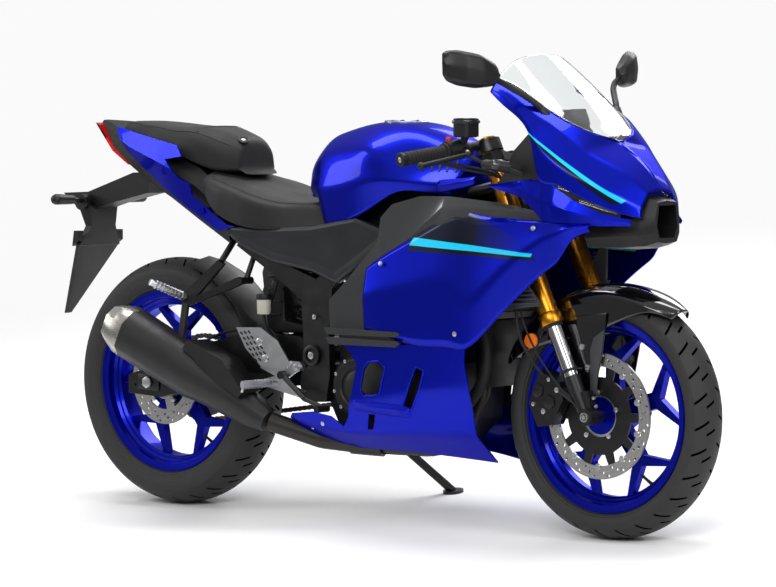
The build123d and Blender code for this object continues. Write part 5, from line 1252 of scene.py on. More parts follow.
    def bars(self):
        """Bar ends, grip flanges and ribs, kill switch and lever pivots."""
        length = (Vector(BAR_END) - Vector(BAR_ROOT)).length
        ends, black, red, silver = bmesh.new(), bmesh.new(), bmesh.new(), bmesh.new()
        for side, _ in SIDES:
            out = (Vector(along_bar(length, side)) - Vector(along_bar(length - 10, side))).normalized()
            add_ring(black, along_bar(length - 133, side), out,
                     [(-4, 16.6), (-4, 21), (3, 21), (5, 18), (5, 16.6)])
            for i in range(11):
                add_ring(black, along_bar(length - 118 + 9 * i, side), out,
                         [(-1.2, 16.3), (-0.9, 17.3), (0.9, 17.3), (1.2, 16.3)], segments=28)
            add_ring(ends, along_bar(length, side), out, [(-9, 8), (-9, 17), (-1, 17), (0.4, 15.6), (0.4, 8)],
                     segments=36)
            add_bolt(silver, along_bar(length - 1, side), out, 6.4, 1.4)
            knuckle = Vector(along_bar(length - 150, side)) + Vector((52, 0, -8))
            add_bolt(silver, knuckle + Vector((0, 0, 7)), (0, 0, 1), 5, 3)
        perch = Vector(along_bar(length - 172, -1))
        button = perch + Vector((-10, -22, 20))
        add_rod(red, button, button + Vector((0, 0, 10)), 7, 6, segments=20, edge=1)
        self.fluid_cup(perch + Vector((22, 4, 0)), silver)
        solid_piece("bar_end_weights", ends, "steering", "black_alloy")
        solid_piece("grip_flanges", black, "steering", "grip_rubber")
        solid_piece("engine_stop_switch", red, "steering", "switch_red")
        solid_piece("bar_screws", silver, "steering", "bare_alloy")

    def fluid_cup(self, pot, screws):
        """The front brake's fluid cup, its stepped lid and the lid's two screws."""
        cup, lid = bmesh.new(), bmesh.new()
        add_cup(cup, pot, 24, 27, 29, 66, 0.92, 4.0)
        add_cup(lid, pot, 26.5, 29.5, 62, 70, 1.0, 2.0)
        add_cup(lid, pot, 22, 25, 69, 74.5, 1.0, 2.0)
        solid_piece("front_fluid_cup", cup, "steering", "black_plastic")
        solid_piece("front_fluid_lid", lid, "steering", "gloss_grey")
        for x, y in ((-15, -17), (15, 17)):
            add_bolt(screws, pot + Vector((x, y, 74)), (0, 0, 1), 2.6, 1.2)

    def cables(self):
        """Two throttle cables and the clutch cable, attached to no body."""
        routes = []
        for i in range(2):
            grip_end = [(1030, -225 - 9 * i, 885), (1060, -200, 872 + 9 * i), (1100, -160, 862 + 9 * i)]
            routes.append((-1, "throttle_cable_%d" % i, grip_end + THROTTLE_CABLE_END))
        routes.append((1, "clutch_cable", CLUTCH_CABLE))
        for side, name, points in routes:
            cable = tube_piece(name, points, 3.2, None, "grip_rubber")
            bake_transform(cable)


# ---------------------------------------------------------------- wheels, engine, rear
class MOTO_OT_wheels(bpy.types.Operator):
    """Adds rivets, bolts, a sensor ring, rim steps and valves to the wheels"""
    bl_idname = "moto.wheels"
    bl_label = "Wheels"

    def execute(self, context):
        self.front_disc_trim()
        self.rear_disc_trim()
        for end, hub, half in (("front", FRONT_HUB, 42), ("rear", REAR_HUB, 56)):
            self.rim_steps(end, hub, half)
        for end, hub in (("front", FRONT_HUB), ("rear", REAR_HUB)):
            self.valve(end, hub)
        return {"FINISHED"}

    def front_disc_trim(self):
        """Rivets, bolts and the toothed sensor ring on the front disc, on the right."""
        rivets, bolts, ring = bmesh.new(), bmesh.new(), bmesh.new()
        first = math.radians(18)
        for x, z in around(FRONT_HUB, 119, 10, first):
            add_ring(rivets, (x, -67.5, z), (0, -1, 0),
                     [(-2, 3.2), (-2, 7.6), (1.2, 7.6), (2.2, 6.4), (2.2, 3.2)], 20)
            add_rod(rivets, (x, -67, z), (x, -68.6, z), 3.3, segments=14)
        for x, z in around(FRONT_HUB, 56, 5, first):
            add_bolt(bolts, (x, -66.5, z), (0, -1, 0), 6, 4.5)
        solid_piece("front_disc_rivets", rivets, "front_wheel", "bare_alloy")
        solid_piece("front_disc_bolts", bolts, "front_wheel", "bare_alloy")
        hub_x, hub_z = FRONT_HUB
        add_ring(ring, (hub_x, -57, hub_z), (0, -1, 0), [(0, 44), (0, 54), (1.6, 54), (1.6, 44)], 72)
        for x, z in around(FRONT_HUB, 49, 36):
            add_rod(ring, (x, -58.4, z), (x, -59.4, z), 1.8, segments=6)
        solid_piece("front_sensor_ring", ring, "front_wheel", "bare_alloy")

    def rear_disc_trim(self):
        """Disc bolts on the right and sprocket nuts on the left."""
        bm = bmesh.new()
        for x, z in around(REAR_HUB, 57, 5, math.radians(18)):
            add_bolt(bm, (x, -71, z), (0, -1, 0), 6, 4.5)
        for x, z in around(REAR_HUB, 52, 6):
            add_rod(bm, (x, 88, z), (x, 96, z), 8, segments=6)
        solid_piece("rear_disc_bolts", bm, "rear_wheel", "bare_alloy")

    def rim_steps(self, end, hub, half):
        """Raised rings where the rim steps down to its well, both sides."""
        bm = bmesh.new()
        for side, _ in SIDES:
            for inward, radius in ((1.5, 226.5), (5, 214.5), (17, 209.5), (26, 201)):
                add_ring(bm, (hub[0], side * (half - inward), hub[1]), (0, side, 0),
                         [(-2.2, radius + 2), (-1.6, radius - 1.6), (0, radius - 2.4), (1.6, radius - 1.6),
                          (2.2, radius + 2)], 96)
        solid_piece(end + "_rim_steps", bm, end + "_wheel", "blue_alloy")

    def valve(self, end, hub):
        """The tyre valve's stem and cap."""
        bm = bmesh.new()
        turn = math.radians(-54)
        way = Vector((math.cos(turn), 0, math.sin(turn)))
        base = Vector((hub[0], -8, hub[1])) + way.normalized() * 196
        inward = Vector((-way.x, -0.7, -way.z)).normalized()
        add_rod(bm, base, base + inward * 26, 4.4, 3.4, segments=14)
        add_rod(bm, base + inward * 26, base + inward * 35, 4, segments=12, edge=0.8)
        solid_piece(end + "_valve", bm, end + "_wheel", "grip_rubber")


class MOTO_OT_engine_bay(bpy.types.Operator):
    """Adds covers, bolts, hoses, the shock's spring and the radiator's fins round the engine"""
    bl_idname = "moto.engine_bay"
    bl_label = "Engine bay"

    def execute(self, context):
        self.covers()
        self.bolts()
        self.shock_spring()
        self.battery_tray()
        bm = bmesh.new()
        for side, _ in SIDES:
            add_ring(bm, (552, side * 136, 405), (0, side, 0),
                     [(0, 16), (0, 25), (3, 25), (4.5, 22), (4.5, 16)], 40)
        solid_piece("pivot_caps", bm, "root", "black_alloy")
        for name, (radius, points) in HOSES.items():
            tube_piece(name, points, radius, "root", "grip_rubber")
        self.radiator_trim()
        return {"FINISHED"}

    def covers(self):
        """Raised rings on the crankcase covers, and the frame's inner plates beside the cylinders."""
        bm = bmesh.new()
        clutch, alternator = (700, -139, 335), (810, -131, 330)
        add_ring(bm, clutch, (0, -1, 0), [(0, 46), (0, 68), (3, 68), (6, 64), (6, 50), (3, 46)], 64)
        add_ring(bm, clutch, (0, -1, 0), [(0, 0.1), (0, 38), (2, 38), (5, 32), (5, 0.1)], 48)
        add_ring(bm, alternator, (0, -1, 0), [(0, 30), (0, 54), (3, 54), (6, 50), (6, 34)], 56)
        add_ring(bm, (810, 129, 330), (0, 1, 0), [(0, 36), (0, 62), (3, 62), (6, 58), (6, 40)], 56)
        for side, _ in SIDES:
            add_plate(bm, [(812, 500), (920, 512), (926, 560), (818, 552)], side * 97, side * 108,
                      edge=4, segments=3)
            add_plate(bm, [(866, 640), (972, 652), (978, 684), (870, 698)], side * 97, side * 108,
                      edge=5, segments=3)
        solid_piece("engine_covers", bm, "root", "engine_alloy")

    def bolts(self):
        """Bolts round the crankcase covers, and the frame's bolts on both sides."""
        bm = bmesh.new()
        for x, z in around((700, 335), 69, 10, 0.2):
            add_bolt(bm, (x, -139.5, z), (0, -1, 0), 4.4, 5)
        for (x, z), (left_x, left_z) in zip(around((810, 330), 55, 8), around((810, 330), 62, 8)):
            add_bolt(bm, (x, -131.5, z), (0, -1, 0), 4.2, 5)
            add_bolt(bm, (left_x, 129.5, left_z), (0, 1, 0), 4.2, 5)
        for side, _ in SIDES:
            for x, z, radius in ((552, 405, 9), (560, 230, 6), (563, 500, 6)):
                add_bolt(bm, (x, side * 135, z), (0, side, 0), radius, 5)
        solid_piece("engine_bolts", bm, "root", "bare_alloy")

    def shock_spring(self):
        """Six coils of spring round the shock absorber."""
        low, high = Vector((416, 0, 452)), Vector((468, 0, 584))
        left = Vector((0, 1, 0))
        back = (high - low).normalized().cross(left)
        coils, steps, radius = 6, 16, 35
        coil = []
        for i in range(coils * steps + 1):
            turn = math.tau * i / steps
            out = left * math.cos(turn) + back * math.sin(turn)
            coil.append(low.lerp(high, i / (coils * steps)) + radius * out)
        tube_piece("shock_spring", coil, 5.5, "root", "shock_steel", resolution=2)

    def battery_tray(self):
        """The ribbed black tray under the seat."""
        bm = bmesh.new()
        add_plate(bm, BATTERY_TRAY_OUTLINE, -56, 56, edge=5, segments=3)
        for i in range(5):
            z = 492 + 32 * i
            front = 384 + 4 * i
            add_plate(bm, [(340, z), (front, z + 2), (front, z + 8), (340, z + 6)], -59, 59, edge=1.5)
        solid_piece("battery_tray", bm, "root", "black_plastic")

    def radiator_trim(self):
        """The radiator's fins and the apron below it."""
        bm = bmesh.new()
        add_plate(bm, RADIATOR_APRON_OUTLINE, -86, 86, edge=2)
        solid_piece("radiator_apron", bm, "root", "black_plastic")
        bm = bmesh.new()
        for i in range(26):
            z = 522 + 6.4 * i
            rear = 1056 + (z - 510) * 0.11
            add_plate(bm, [(rear, z), (rear + 8, z + 0.6), (rear + 8, z + 2.2), (rear, z + 1.8)], -126, 126)
        solid_piece("radiator_fins", bm, "root", "frame_paint")


class MOTO_OT_rear_end(bpy.types.Operator):
    """Adds the chain links, adjusters, heel plate piercings, footrest details, fluid pot and tail tip"""
    bl_idname = "moto.rear_end"
    bl_label = "Rear end"

    def execute(self, context):
        self.chain()
        self.adjusters()
        self.heel_plates()
        self.reservoir()
        self.silencer_trim()
        return {"FINISHED"}

    def chain_loop(self):
        """The chain's pitch line in side view, with the distance to each of its points."""
        hubs = Vector(REAR_HUB), Vector((628, 330))
        radii = [CHAIN_PITCH / (2 * math.sin(math.pi / teeth)) for teeth in (43, 14)]
        between_hubs = hubs[1] - hubs[0]
        tilt = math.atan2(between_hubs.y, between_hubs.x)
        swing = math.acos((radii[0] - radii[1]) / between_hubs.length)
        loop = []
        arcs = ((swing, math.tau - swing, 60), (-swing, swing, 24))
        for hub, radius, (start, end, count) in zip(hubs, radii, arcs):
            for i in range(count + 1):
                turn = start + (end - start) * i / count + tilt
                loop.append(hub + radius * Vector((math.cos(turn), math.sin(turn))))
        loop.append(loop[0])
        lengths = [0.0]
        for a, b in zip(loop, loop[1:]):
            lengths.append(lengths[-1] + (b - a).length)
        return loop, lengths

    def chain(self):
        """Side plates and pins along the chain's loop, every other pair set inwards."""
        loop, lengths = self.chain_loop()
        count = 2 * round(lengths[-1] / CHAIN_PITCH / 2)

        def at(distance):
            distance %= lengths[-1]
            index = next(i for i in range(1, len(lengths)) if lengths[i] >= distance)
            part = (distance - lengths[index - 1]) / (lengths[index] - lengths[index - 1] or 1)
            return loop[index - 1].lerp(loop[index], part)

        bm = bmesh.new()
        for i in range(count):
            a, b = at(lengths[-1] * i / count), at(lengths[-1] * (i + 1) / count)
            along = (b - a).normalized()
            across = Vector((-along.y, along.x)) * (6.6 if i % 2 else 5.9)
            half = [(a - along * 5.4, 0.45), (a - along * 1.5, 1), (a.lerp(b, 0.5), 0.72),
                    (b + along * 1.5, 1), (b + along * 5.4, 0.45)]
            outline = [place + across * share for place, share in half]
            outline += [place - across * share for place, share in reversed(half)]
            inset = 1.6 if i % 2 else 0.0
            for low, high in ((77.6 + inset, 79.2 + inset), (92.8 - inset, 94.4 - inset)):
                add_plate(bm, outline, low, high)
            add_rod(bm, (a.x, 77.0, a.y), (a.x, 95.0, a.y), 2.6, segments=8)
        links = solid_piece("drive_chain_links", bm, "root", "chain_steel")
        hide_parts("drive_chain")

    def adjusters(self):
        """Chain adjuster plates, their screws and the axle nuts."""
        bm, bolts = bmesh.new(), bmesh.new()
        for side, _ in SIDES:
            add_plate(bm, [(-34, 296), (34, 292), (38, 300), (38, 330), (34, 336), (-34, 334)], side * 128,
                      side * 131.5, edge=1.0)
            add_rod(bolts, (0, side * 131, 314), (0, side * 139, 314), 15.5, segments=6, edge=1.2)
            add_rod(bolts, (-78, side * 112, 308), (-62, side * 112, 308), 5, segments=6)
        solid_piece("chain_adjusters", bm, "root", "black_alloy")
        solid_piece("rear_axle_nuts", bolts, "root", "bare_alloy")

    def heel_plates(self):
        """Dark piercings and screw heads on each heel plate, and the footrests' ribs."""
        slots, screws = bmesh.new(), bmesh.new()
        for side, _ in SIDES:
            self.piercings(slots, side)
            for x, z in ((392, 432), (412, 392)):
                add_ring(screws, (x, side * 149, z), (0, side, 0),
                         [(0, 4), (0, 10), (1.6, 10), (2.6, 8.4), (2.6, 4)], 28)
                add_bolt(screws, (x, side * 149.4, z), (0, side, 0), 4.6, 2.2)
            for x, z in ((512, 375), (515, 311)):
                add_bolt(screws, (x, side * 144, z), (0, side, 0), 8.5, 6)
            start, end = Vector((440, side * 140, 334)), Vector((410, side * 226, 331))
            way = (end - start).normalized()
            for i in range(9):
                add_ring(screws, start + way * (14 + 9 * i), way,
                         [(-1.6, 9.2), (-1.2, 10.8), (1.2, 10.8), (1.6, 9.2)], 24)
            start, end = Vector((150, side * 156, 536.5)), Vector((119.6, side * 251, 576.4))
            way = (end - start).normalized()
            add_rod(screws, start, end, 10.6, 8.8, segments=28, edge=1.2)
            for i in range(8):
                add_ring(screws, start + way * (12 + 11 * i), way,
                         [(-2, 8.6), (-1.4, 11.2), (1.4, 11.2), (2, 8.6)], 24)
        solid_piece("heel_plate_piercings", slots, "root", "black_plastic")
        solid_piece("footrest_hardware", screws, "root", "bare_alloy")

    def piercings(self, bm, side):
        """Slanted rows of short slots, each two round holes that run together."""
        for row in range(6):
            for column in range(4):
                x = 334 + 12.5 * column + 9.5 * row
                z = 452 - 13 * row + 2.0 * column
                if z < 385 + 2 * column or (column > 2 and row < 2):
                    continue
                for hole_x, hole_z in ((x - 2.2, z + 1.6), (x + 2.2, z - 1.6)):
                    add_rod(bm, (hole_x, side * 148.6, hole_z), (hole_x, side * 149.25, hole_z), 2.9,
                            segments=12)

    def reservoir(self):
        """Rear brake fluid pot with its cap, bracket and hose."""
        bm = bmesh.new()
        add_rod(bm, (386, -124, 500), (386, -124, 538), 17, 18, segments=32, edge=2)
        solid_piece("rear_fluid_pot", bm, "root", "fluid_pot")
        bm = bmesh.new()
        add_rod(bm, (386, -124, 536), (386, -124, 550), 19.5, 18.5, segments=24, edge=2)
        add_plate(bm, [(376, 520), (396, 520), (420, 580), (404, 586)], -112, -106, edge=1.5)
        solid_piece("rear_fluid_pot_cap", bm, "root", "black_plastic")
        tube_piece("rear_fluid_hose", REAR_FLUID_HOSE, 4.5, "root", "grip_rubber")

    def silencer_trim(self):
        """The round tip inside the silencer's cap."""
        bm = bmesh.new()
        low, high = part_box("silencer_cap")
        middle = UPRIGHT @ ((Vector(low) + Vector(high)) / 2)
        start = Vector((424, -148, 238))
        way = (middle / MM - start).normalized()
        add_ring(bm, start + way * 541, way, [(-30, 17), (-30, 22), (0, 22), (2, 20.5), (2, 17)], 40)
        solid_piece("silencer_tail_tip", bm, "root", "exhaust_steel")


# ---------------------------------------------------------------- lines and tables
RAKE = math.radians(25)
STEER_SLOPE = math.tan(RAKE)
STEER_WAY = (-math.sin(RAKE), 0, math.cos(RAKE))
BAR_ROOT = (1475 - STEER_SLOPE * 925 + 23 / math.cos(RAKE), 120, 925)
BAR_END = (1012, 352, 893)


def fork_line(z, side):
    """A place on a fork leg's centre line at this height, in mm."""
    return (1475 - STEER_SLOPE * z + 29 / math.cos(RAKE), side * 100, z)


def along_bar(distance, side):
    """A place on a handlebar at this distance from its root, in mm."""
    way = (Vector(BAR_END) - Vector(BAR_ROOT)).normalized()
    place = Vector(BAR_ROOT) + way * distance
    return (place.x, side * place.y, place.z)


# Tank stations in mm. Columns: x, then (y, z) of the top, the crown, the shoulder, the flank and the hem.
TANK_ROWS = [
    (466, (0, 838), (16, 834), (26, 822), (30, 806), (24, 792)),
    (489, (0, 888), (34, 882), (58, 856), (66, 814), (52, 789)),
    (547, (0, 938), (56, 929), (102, 884), (116, 815), (100, 783)),
    (592, (0, 956), (66, 946), (122, 898), (138, 815), (124, 722)),
    (679, (0, 975), (76, 965), (144, 908), (156, 824), (142, 738)),
    (770, (0, 978), (84, 967), (162, 908), (171, 838), (150, 778)),
    (850, (0, 966), (88, 951), (144, 886), (170, 840), (160, 812)),
    (930, (0, 938), (76, 920), (116, 872), (157, 834), (150, 810)),
    (990, (0, 902), (64, 888), (98, 862), (146, 830), (144, 806)),
]
TANK_WING_ROWS = [
    (960, (138, 842), (146, 839), (155, 828), (150, 810)),
    (1040, (145, 848), (150, 846), (160, 838), (156, 824)),
    (1076, (147, 852), (150, 850), (154, 844), (150, 834)),
]
RIDER_SEAT_ROWS = [
    (176, (0, 852), (70, 850), (112, 832), (116, 812)),
    (222, (0, 842), (92, 840), (140, 818), (146, 772)),
    (276, (0, 826), (104, 826), (152, 806), (158, 740)),
    (350, (0, 800), (106, 801), (158, 786), (164, 720)),
    (427, (0, 781), (92, 782), (142, 770), (156, 714)),
    (500, (0, 776), (66, 777), (112, 768), (140, 714)),
    (576, (0, 768), (48, 768), (88, 760), (118, 722)),
]
PILLION_SEAT_ROWS = [
    (-160, (0, 970), (22, 970), (40, 962), (44, 950)),
    (-60, (0, 973), (58, 971), (82, 956), (92, 930)),
    (60, (0, 962), (70, 961), (100, 938), (112, 902)),
    (132, (0, 962), (66, 960), (102, 930), (112, 878)),
    (205, (0, 944), (54, 940), (90, 905), (98, 856)),
    (252, (0, 920), (40, 914), (64, 890), (70, 856)),
]
UPPER_COWL_ROWS = [
    (1136, (146, 1082), (158, 1066), (164, 1060), (168, 1052)),
    (1200, (146, 1062), (170, 1046), (182, 1030), (184, 1012)),
    (1270, (136, 1018), (168, 1000), (190, 972), (192, 955)),
    (1300, (129, 1000), (164, 982), (194, 925), (198, 855)),
    (1342, (108, 974), (150, 950), (188, 890), (190, 838)),
    (1378, (60, 952), (134, 922), (176, 866), (178, 822)),
    (1396, (0, 934), (122, 908), (168, 856), (170, 812)),
    (1440, (0, 904), (92, 880), (142, 832), (146, 790)),
    (1480, (0, 868), (66, 850), (108, 804), (112, 770)),
    (1510, (0, 826), (44, 818), (70, 784), (74, 760)),
]
# Half rows of the screen: ridge, bend and edge.
SCREEN_CAGE = [
    [(1167, 0, 1142), (1158, 96, 1128), (1134, 146, 1083)],
    [(1200, 0, 1115), (1200, 96, 1098), (1200, 146, 1062)],
    [(1270, 0, 1050), (1270, 90, 1043), (1270, 136, 1018)],
    [(1300, 0, 1022), (1300, 86, 1017), (1300, 129, 1000)],
    [(1342, 0, 985), (1342, 72, 983), (1342, 108, 974)],
    [(1378, 0, 955), (1378, 40, 955), (1378, 60, 952)],
    [(1394, 0, 937), (1394, 2, 937), (1394, 4, 937)],
]
SIDE_PANEL_ROWS = [
    (772, (190, 626), (203, 560), (198, 480)),
    (830, (188, 663), (207, 575), (204, 469)),
    (940, (184, 719), (211, 595), (205, 448)),
    (1040, (178, 767), (213, 605), (206, 448)),
    (1100, (182, 763), (213, 560), (200, 451)),
    (1200, (188, 757), (214, 632), (194, 540)),
    (1310, (194, 751), (210, 706), (192, 628)),
    (1354, (190, 748), (204, 724), (188, 660)),
    (1390, (182, 746), (196, 736), (182, 709)),
    (1430, (168, 744), (178, 739), (166, 728)),
]
# Columns: angle from forward in degrees, crown radius, half width, depth of the side.
FENDER_ROWS = [(51, 324, 30, 2), (62, 318, 60, 14), (76, 313, 66, 60), (92, 311, 68, 90), (110, 311, 70, 96),
               (130, 312, 68, 70), (148, 318, 66, 30), (158, 322, 56, 6)]
LOWER_COWL_ROWS = [
    (480, (172, 446), (160, 300), (140, 246), (100, 182)),
    (700, (184, 446), (180, 300), (162, 226), (98, 182)),
    (900, (202, 450), (196, 330), (172, 236), (90, 178)),
    (1060, (203, 452), (190, 340), (146, 236), (50, 164)),
    (1110, (196, 452), (178, 340), (120, 236), (30, 158)),
]
LOWER_COWL_OUTLINE = [
    (489, 250), (500, 262), (576, 270), (640, 262), (680, 238), (700, 262), (716, 312), (738, 384), (736, 398),
    (716, 424), (690, 440), (800, 446), (890, 447), (1000, 452), (1086, 454), (1080, 414), (1087, 349),
    (1080, 281), (1064, 150), (930, 140), (690, 140), (598, 176),
]
COWL_WINDOW = [(780, 398), (816, 402), (832, 388), (812, 326), (766, 320), (752, 334), (764, 382)]
COWL_SLOT = [(934, 394), (958, 386), (942, 346), (914, 292), (888, 298), (916, 350)]
COWL_DRAIN = [(772, 274), (794, 274), (780, 236), (762, 236)]
# The left cowl ends further forward than the right one.
COWL_REAR_CUT = [(400, 100), (690, 100), (690, 500), (400, 500)]
# Mirror housing. Columns: y, front x, rear x, top z, low z.
MIRROR_ROWS = [(236, 1222, 1200, 1108, 1076), (252, 1227, 1195, 1122, 1065), (290, 1220, 1180, 1141, 1062),
               (330, 1200, 1162, 1149, 1068), (354, 1178, 1151, 1148, 1078), (366, 1163, 1149, 1142, 1092)]
MIRROR_GLASS_ROWS = [(244, 1225, 1196, 1115, 1068)] + MIRROR_ROWS[2:4] + [(356, 1172, 1152, 1142, 1098)]
MIRROR_STEM = [(1277, 141, 1000), (1270, 149, 1018), (1246, 172, 1042), (1222, 198, 1062), (1210, 226, 1078),
               (1207, 252, 1086)]
FRAME_COVER_OUTLINE = [(282, 700), (300, 716), (440, 716), (560, 722), (700, 745), (800, 716), (794, 680),
                       (700, 620), (640, 585), (560, 612), (430, 632), (330, 668)]
FRAME_INFILL_OUTLINE = [(520, 700), (560, 780), (700, 800), (860, 812), (930, 800), (900, 700), (800, 640),
                        (740, 560), (660, 520), (640, 600), (560, 640)]
FENDER_ARMS = [(1327, 86, 400), (1288, 84, 470)]
# Light strips: start, end and radius.
HEADLAMP_STRIPS = [((1352, 188, 832), (1442, 148, 802), 3.4), ((1398, 165, 800), (1470, 116, 772), 4.2)]
# Panel screws on the left: place and direction.
PANEL_SCREWS = [
    ((604.8, 154.6, 241.3), (-0.12, 0.96, -0.27)),
    ((826, 199, 640), (0, 1, 0.2)),
    ((1060, 206, 480), (0, 1, -0.1)),
    ((1290, 200, 735), (0.1, 0.97, 0.2)),
]

# Side-view outlines (x, z) of the mudguard's lobe, of the grey strip that paints the reflection on its front edge,
# of the tray and of the apron.
FENDER_LOBE = [(1408, 536), (1404, 500), (1396, 440), (1385, 390), (1380, 342), (1366, 332), (1350, 332),
               (1330, 372), (1312, 408), (1296, 440), (1278, 484), (1262, 520)]
FENDER_EDGE_REFLECTION = [(1403, 497), (1372, 477), (1363, 448), (1363, 346), (1369, 337), (1379, 347), (1384, 392),
                 (1395, 441)]
BATTERY_TRAY_OUTLINE = [(336, 462), (352, 451), (470, 451), (474, 470), (392, 482), (392, 560), (420, 640),
                        (400, 668), (340, 660), (318, 600)]
RADIATOR_APRON_OUTLINE = [(1041, 506), (1060, 506), (1060, 470), (1053, 400), (1050, 345), (1043, 345),
                          (1042, 440)]
CHAIN_PITCH = 15.875

# Routes of hoses, leads and cables.
FRONT_BRAKE_HOSE = [(1106, -205, 900), (1130, -186, 886), (1142, -142, 862), (1158, -122, 800),
                    (1186, -128, 700), (1196, -134, 610), (1188, -138, 540), (1196, -132, 470),
                    (1222, -126, 430), (1236, -112, 400), (1244, -98, 384)]
FRONT_SENSOR_LEAD = [(1164, -126, 700), (1176, -118, 600), (1196, -126, 520), (1236, -122, 440),
                     (1300, -124, 370), (1352, -118, 318), (1372, -112, 300)]
THROTTLE_CABLE_END = [(1130, -110, 850), (1124, -70, 820), (1090, -48, 790)]
CLUTCH_CABLE = [(1070, 215, 898), (1104, 190, 888), (1136, 140, 868), (1130, 90, 830), (1092, 50, 792)]
REAR_FLUID_HOSE = [(386, -124, 500), (386, -126, 476), (410, -130, 448), (452, -132, 420), (474, -134, 384)]
FRONT_HOSE = [(1056, 112, 512), (1078, 112, 470), (1084, 110, 420), (1066, 106, 350), (1010, 100, 300)]
# The engine bay's hoses: radius and route.
HOSES = {
    "coolant_hose_low": (13, [(1052, -118, 524), (1040, -128, 470), (1000, -132, 420), (950, -128, 380),
                              (900, -112, 350)]),
    "front_hose_right": (13, [(x, -y, z) for x, y, z in FRONT_HOSE]),
    "front_hose_inner": (14, [(1052, -84, 512), (1066, -86, 470), (1062, -88, 400), (1036, -88, 330),
                              (990, -86, 290)]),
    "front_hose_left": (13, FRONT_HOSE),
    "coolant_hose_high": (12, [(1052, 110, 670), (1030, 118, 640), (990, 112, 610), (960, 98, 600)]),
    "overflow_hose": (5, [(1046, -136, 560), (1030, -146, 500), (1000, -150, 430), (960, -150, 330),
                          (930, -130, 270)]),
    "rear_brake_line": (3.4, [(470, -132, 360), (440, -128, 430), (400, -118, 470), (340, -112, 462),
                              (240, -104, 452), (150, -92, 420), (122, -84, 398)]),
    "breather_hose": (4.5, [(640, 104, 470), (600, 110, 440), (590, 112, 380), (600, 108, 300),
                            (590, 100, 240)]),
}

# Camera, in the upright frame.
CAMERA_PLACE = Vector((7.5249, -8.2149, 1.0927))


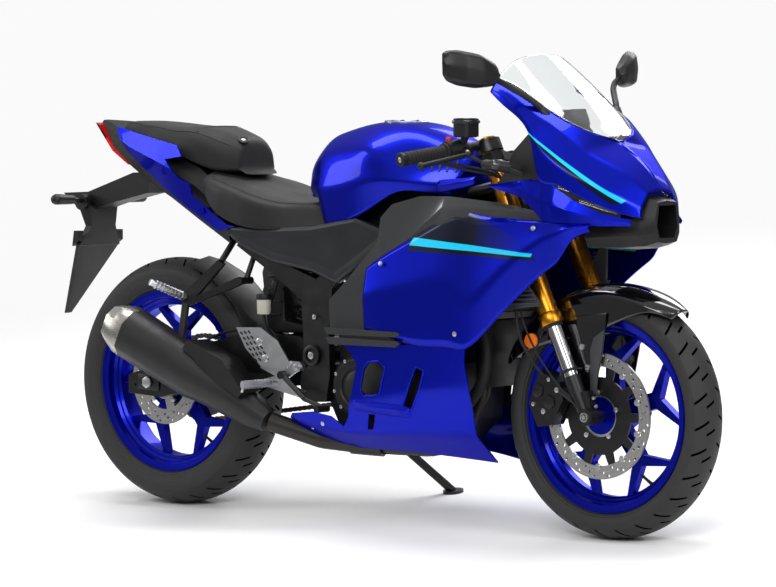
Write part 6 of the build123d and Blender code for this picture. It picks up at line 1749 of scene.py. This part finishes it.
class MOTO_OT_stage(bpy.types.Operator):
    """Adds the pale floor, the soft lights, the world and the camera"""
    bl_idname = "moto.stage"
    bl_label = "Stage"

    def execute(self, context):
        scene = context.scene
        scene.view_settings.view_transform = "Standard"
        self.add_floor()
        self.add_world(scene)
        # columns: name, place, aim, size x, size y, power in W
        lamps = [
            ("key_softbox", (2.2, -3.6, 3.4), (0, 0, 0.5), 3.2, 1.4, 110),
            ("front_softbox", (4.4, -0.6, 2.4), (0.3, 0, 0.6), 1.0, 2.4, 60),
            ("top_softbox", (-0.2, 0.6, 3.6), (0, 0, 0.5), 3.8, 1.0, 110),
            ("rear_softbox", (-3.8, -1.8, 2.4), (-0.4, 0, 0.6), 1.0, 2.4, 45),
            ("left_softbox", (-0.6, 4.2, 2.6), (0, 0, 0.6), 3.0, 1.2, 70),
        ]
        for name, place, aim, size_x, size_y, power in lamps:
            data = bpy.data.lights.new(name, "AREA")
            data.shape = "RECTANGLE"
            data.size = size_x
            data.size_y = size_y
            data.energy = power * sizes().light
            lamp = new_object(name, data)
            lamp.location = place
            lamp.rotation_euler = (Vector(aim) - Vector(place)).to_track_quat("-Z", "Y").to_euler()
        data = bpy.data.cameras.new("camera")
        data.lens = sizes().camera_lens
        data.sensor_width = 36.0
        data.clip_end = 200
        camera = new_object("camera", data)
        turn = (Matrix.Rotation(sizes().camera_turn, 4, "Z")
                @ Matrix.Rotation(math.pi / 2 - sizes().camera_dip, 4, "X"))
        camera.matrix_world = PARK @ Matrix.Translation(CAMERA_PLACE) @ turn
        scene.camera = camera
        return {"FINISHED"}

    def add_floor(self):
        """A pale floor that fades into the background away from the machine."""
        bm = bmesh.new()
        bmesh.ops.create_circle(bm, cap_ends=True, segments=64, radius=8.0)
        floor = new_object("floor", mesh_from("floor", bm))
        material, tree, shader = new_material("pale_studio_floor", "#F4F4F4", roughness=0.9)
        shader.inputs["Specular IOR Level"].default_value = 0.0
        place = add_node(tree, "ShaderNodeTexCoord").outputs["Object"]
        away = add_node(tree, "ShaderNodeVectorMath", operation="LENGTH", links=[(0, place)]).outputs["Value"]
        fade = remap(tree, away, 1.6, 4.0, 0, 1)
        clear = add_node(tree, "ShaderNodeBsdfTransparent")
        mixed = add_node(tree, "ShaderNodeMixShader", links=[(0, fade), (1, shader.outputs["BSDF"]),
                                                             (2, clear.outputs["BSDF"])])
        tree.links.new(mixed.outputs["Shader"], tree.nodes["Material Output"].inputs["Surface"])
        floor.data.materials.append(material)

    def add_world(self, scene):
        """An even pale world that lights softly, and shows as the pale background."""
        world = bpy.data.worlds.new("studio")
        world.use_nodes = True
        scene.world = world
        tree = world.node_tree
        light = tree.nodes["Background"]
        sky = add_node(tree, "ShaderNodeTexCoord").outputs["Generated"]
        height = add_node(tree, "ShaderNodeSeparateXYZ", links=[("Vector", sky)]).outputs["Z"]
        glow = remap(tree, height, 0.15, 0.85, 0.06, 0.62)
        tree.links.new(glow, light.inputs["Strength"])
        light.inputs["Color"].default_value = linear("#FFFFFF")
        shown = add_node(tree, "ShaderNodeBackground",
                         values=[("Color", linear(colours().background)), ("Strength", 1.0)])
        path = add_node(tree, "ShaderNodeLightPath")
        seen = math_node(tree, "MAXIMUM", path.outputs["Is Camera Ray"], path.outputs["Is Transmission Ray"])
        glossy = math_node(tree, "MULTIPLY", path.outputs["Is Glossy Ray"], 0.25)
        seen = math_node(tree, "MAXIMUM", seen, glossy)
        mixed = add_node(tree, "ShaderNodeMixShader", links=[
            (0, seen), (1, light.outputs["Background"]), (2, shown.outputs["Background"])])
        tree.links.new(mixed.outputs["Shader"], tree.nodes["World Output"].inputs["Surface"])


GROUPS = [MOTO_PG_colours, MOTO_PG_sizes]
CLASSES = [MOTO_OT_finishes, MOTO_OT_seats, MOTO_OT_tank, MOTO_OT_cowls, MOTO_OT_front_end, MOTO_OT_wheels,
           MOTO_OT_engine_bay, MOTO_OT_rear_end, MOTO_OT_stage]


class MOTO_PT_panel(bpy.types.Panel):
    """Lists the dressing steps"""
    bl_idname = "MOTO_PT_panel"
    bl_label = "Motorcycle"
    bl_space_type = "VIEW_3D"
    bl_region_type = "UI"
    bl_category = "Motorcycle"

    def draw(self, context):
        for group in (context.scene.moto_colours, context.scene.moto_sizes):
            for name in group.__annotations__:
                self.layout.prop(group, name)
        for operator in CLASSES:
            self.layout.operator(operator.bl_idname)


def register():
    """Registers the operators and the panel."""
    for item in GROUPS + CLASSES + [MOTO_PT_panel]:
        bpy.utils.register_class(item)
    bpy.types.Scene.moto_colours = PointerProperty(type=MOTO_PG_colours)
    bpy.types.Scene.moto_sizes = PointerProperty(type=MOTO_PG_sizes)


def unregister():
    """Takes the operators and the panel away again."""
    del bpy.types.Scene.moto_colours, bpy.types.Scene.moto_sizes
    for item in reversed(GROUPS + CLASSES + [MOTO_PT_panel]):
        bpy.utils.unregister_class(item)


def main():
    """Runs every step in order."""
    register()
    bpy.ops.moto.finishes()
    bpy.ops.moto.seats()
    bpy.ops.moto.tank()
    bpy.ops.moto.cowls()
    bpy.ops.moto.front_end()
    bpy.ops.moto.wheels()
    bpy.ops.moto.engine_bay()
    bpy.ops.moto.rear_end()
    bpy.ops.moto.stage()


if __name__ == "__main__":
    main()
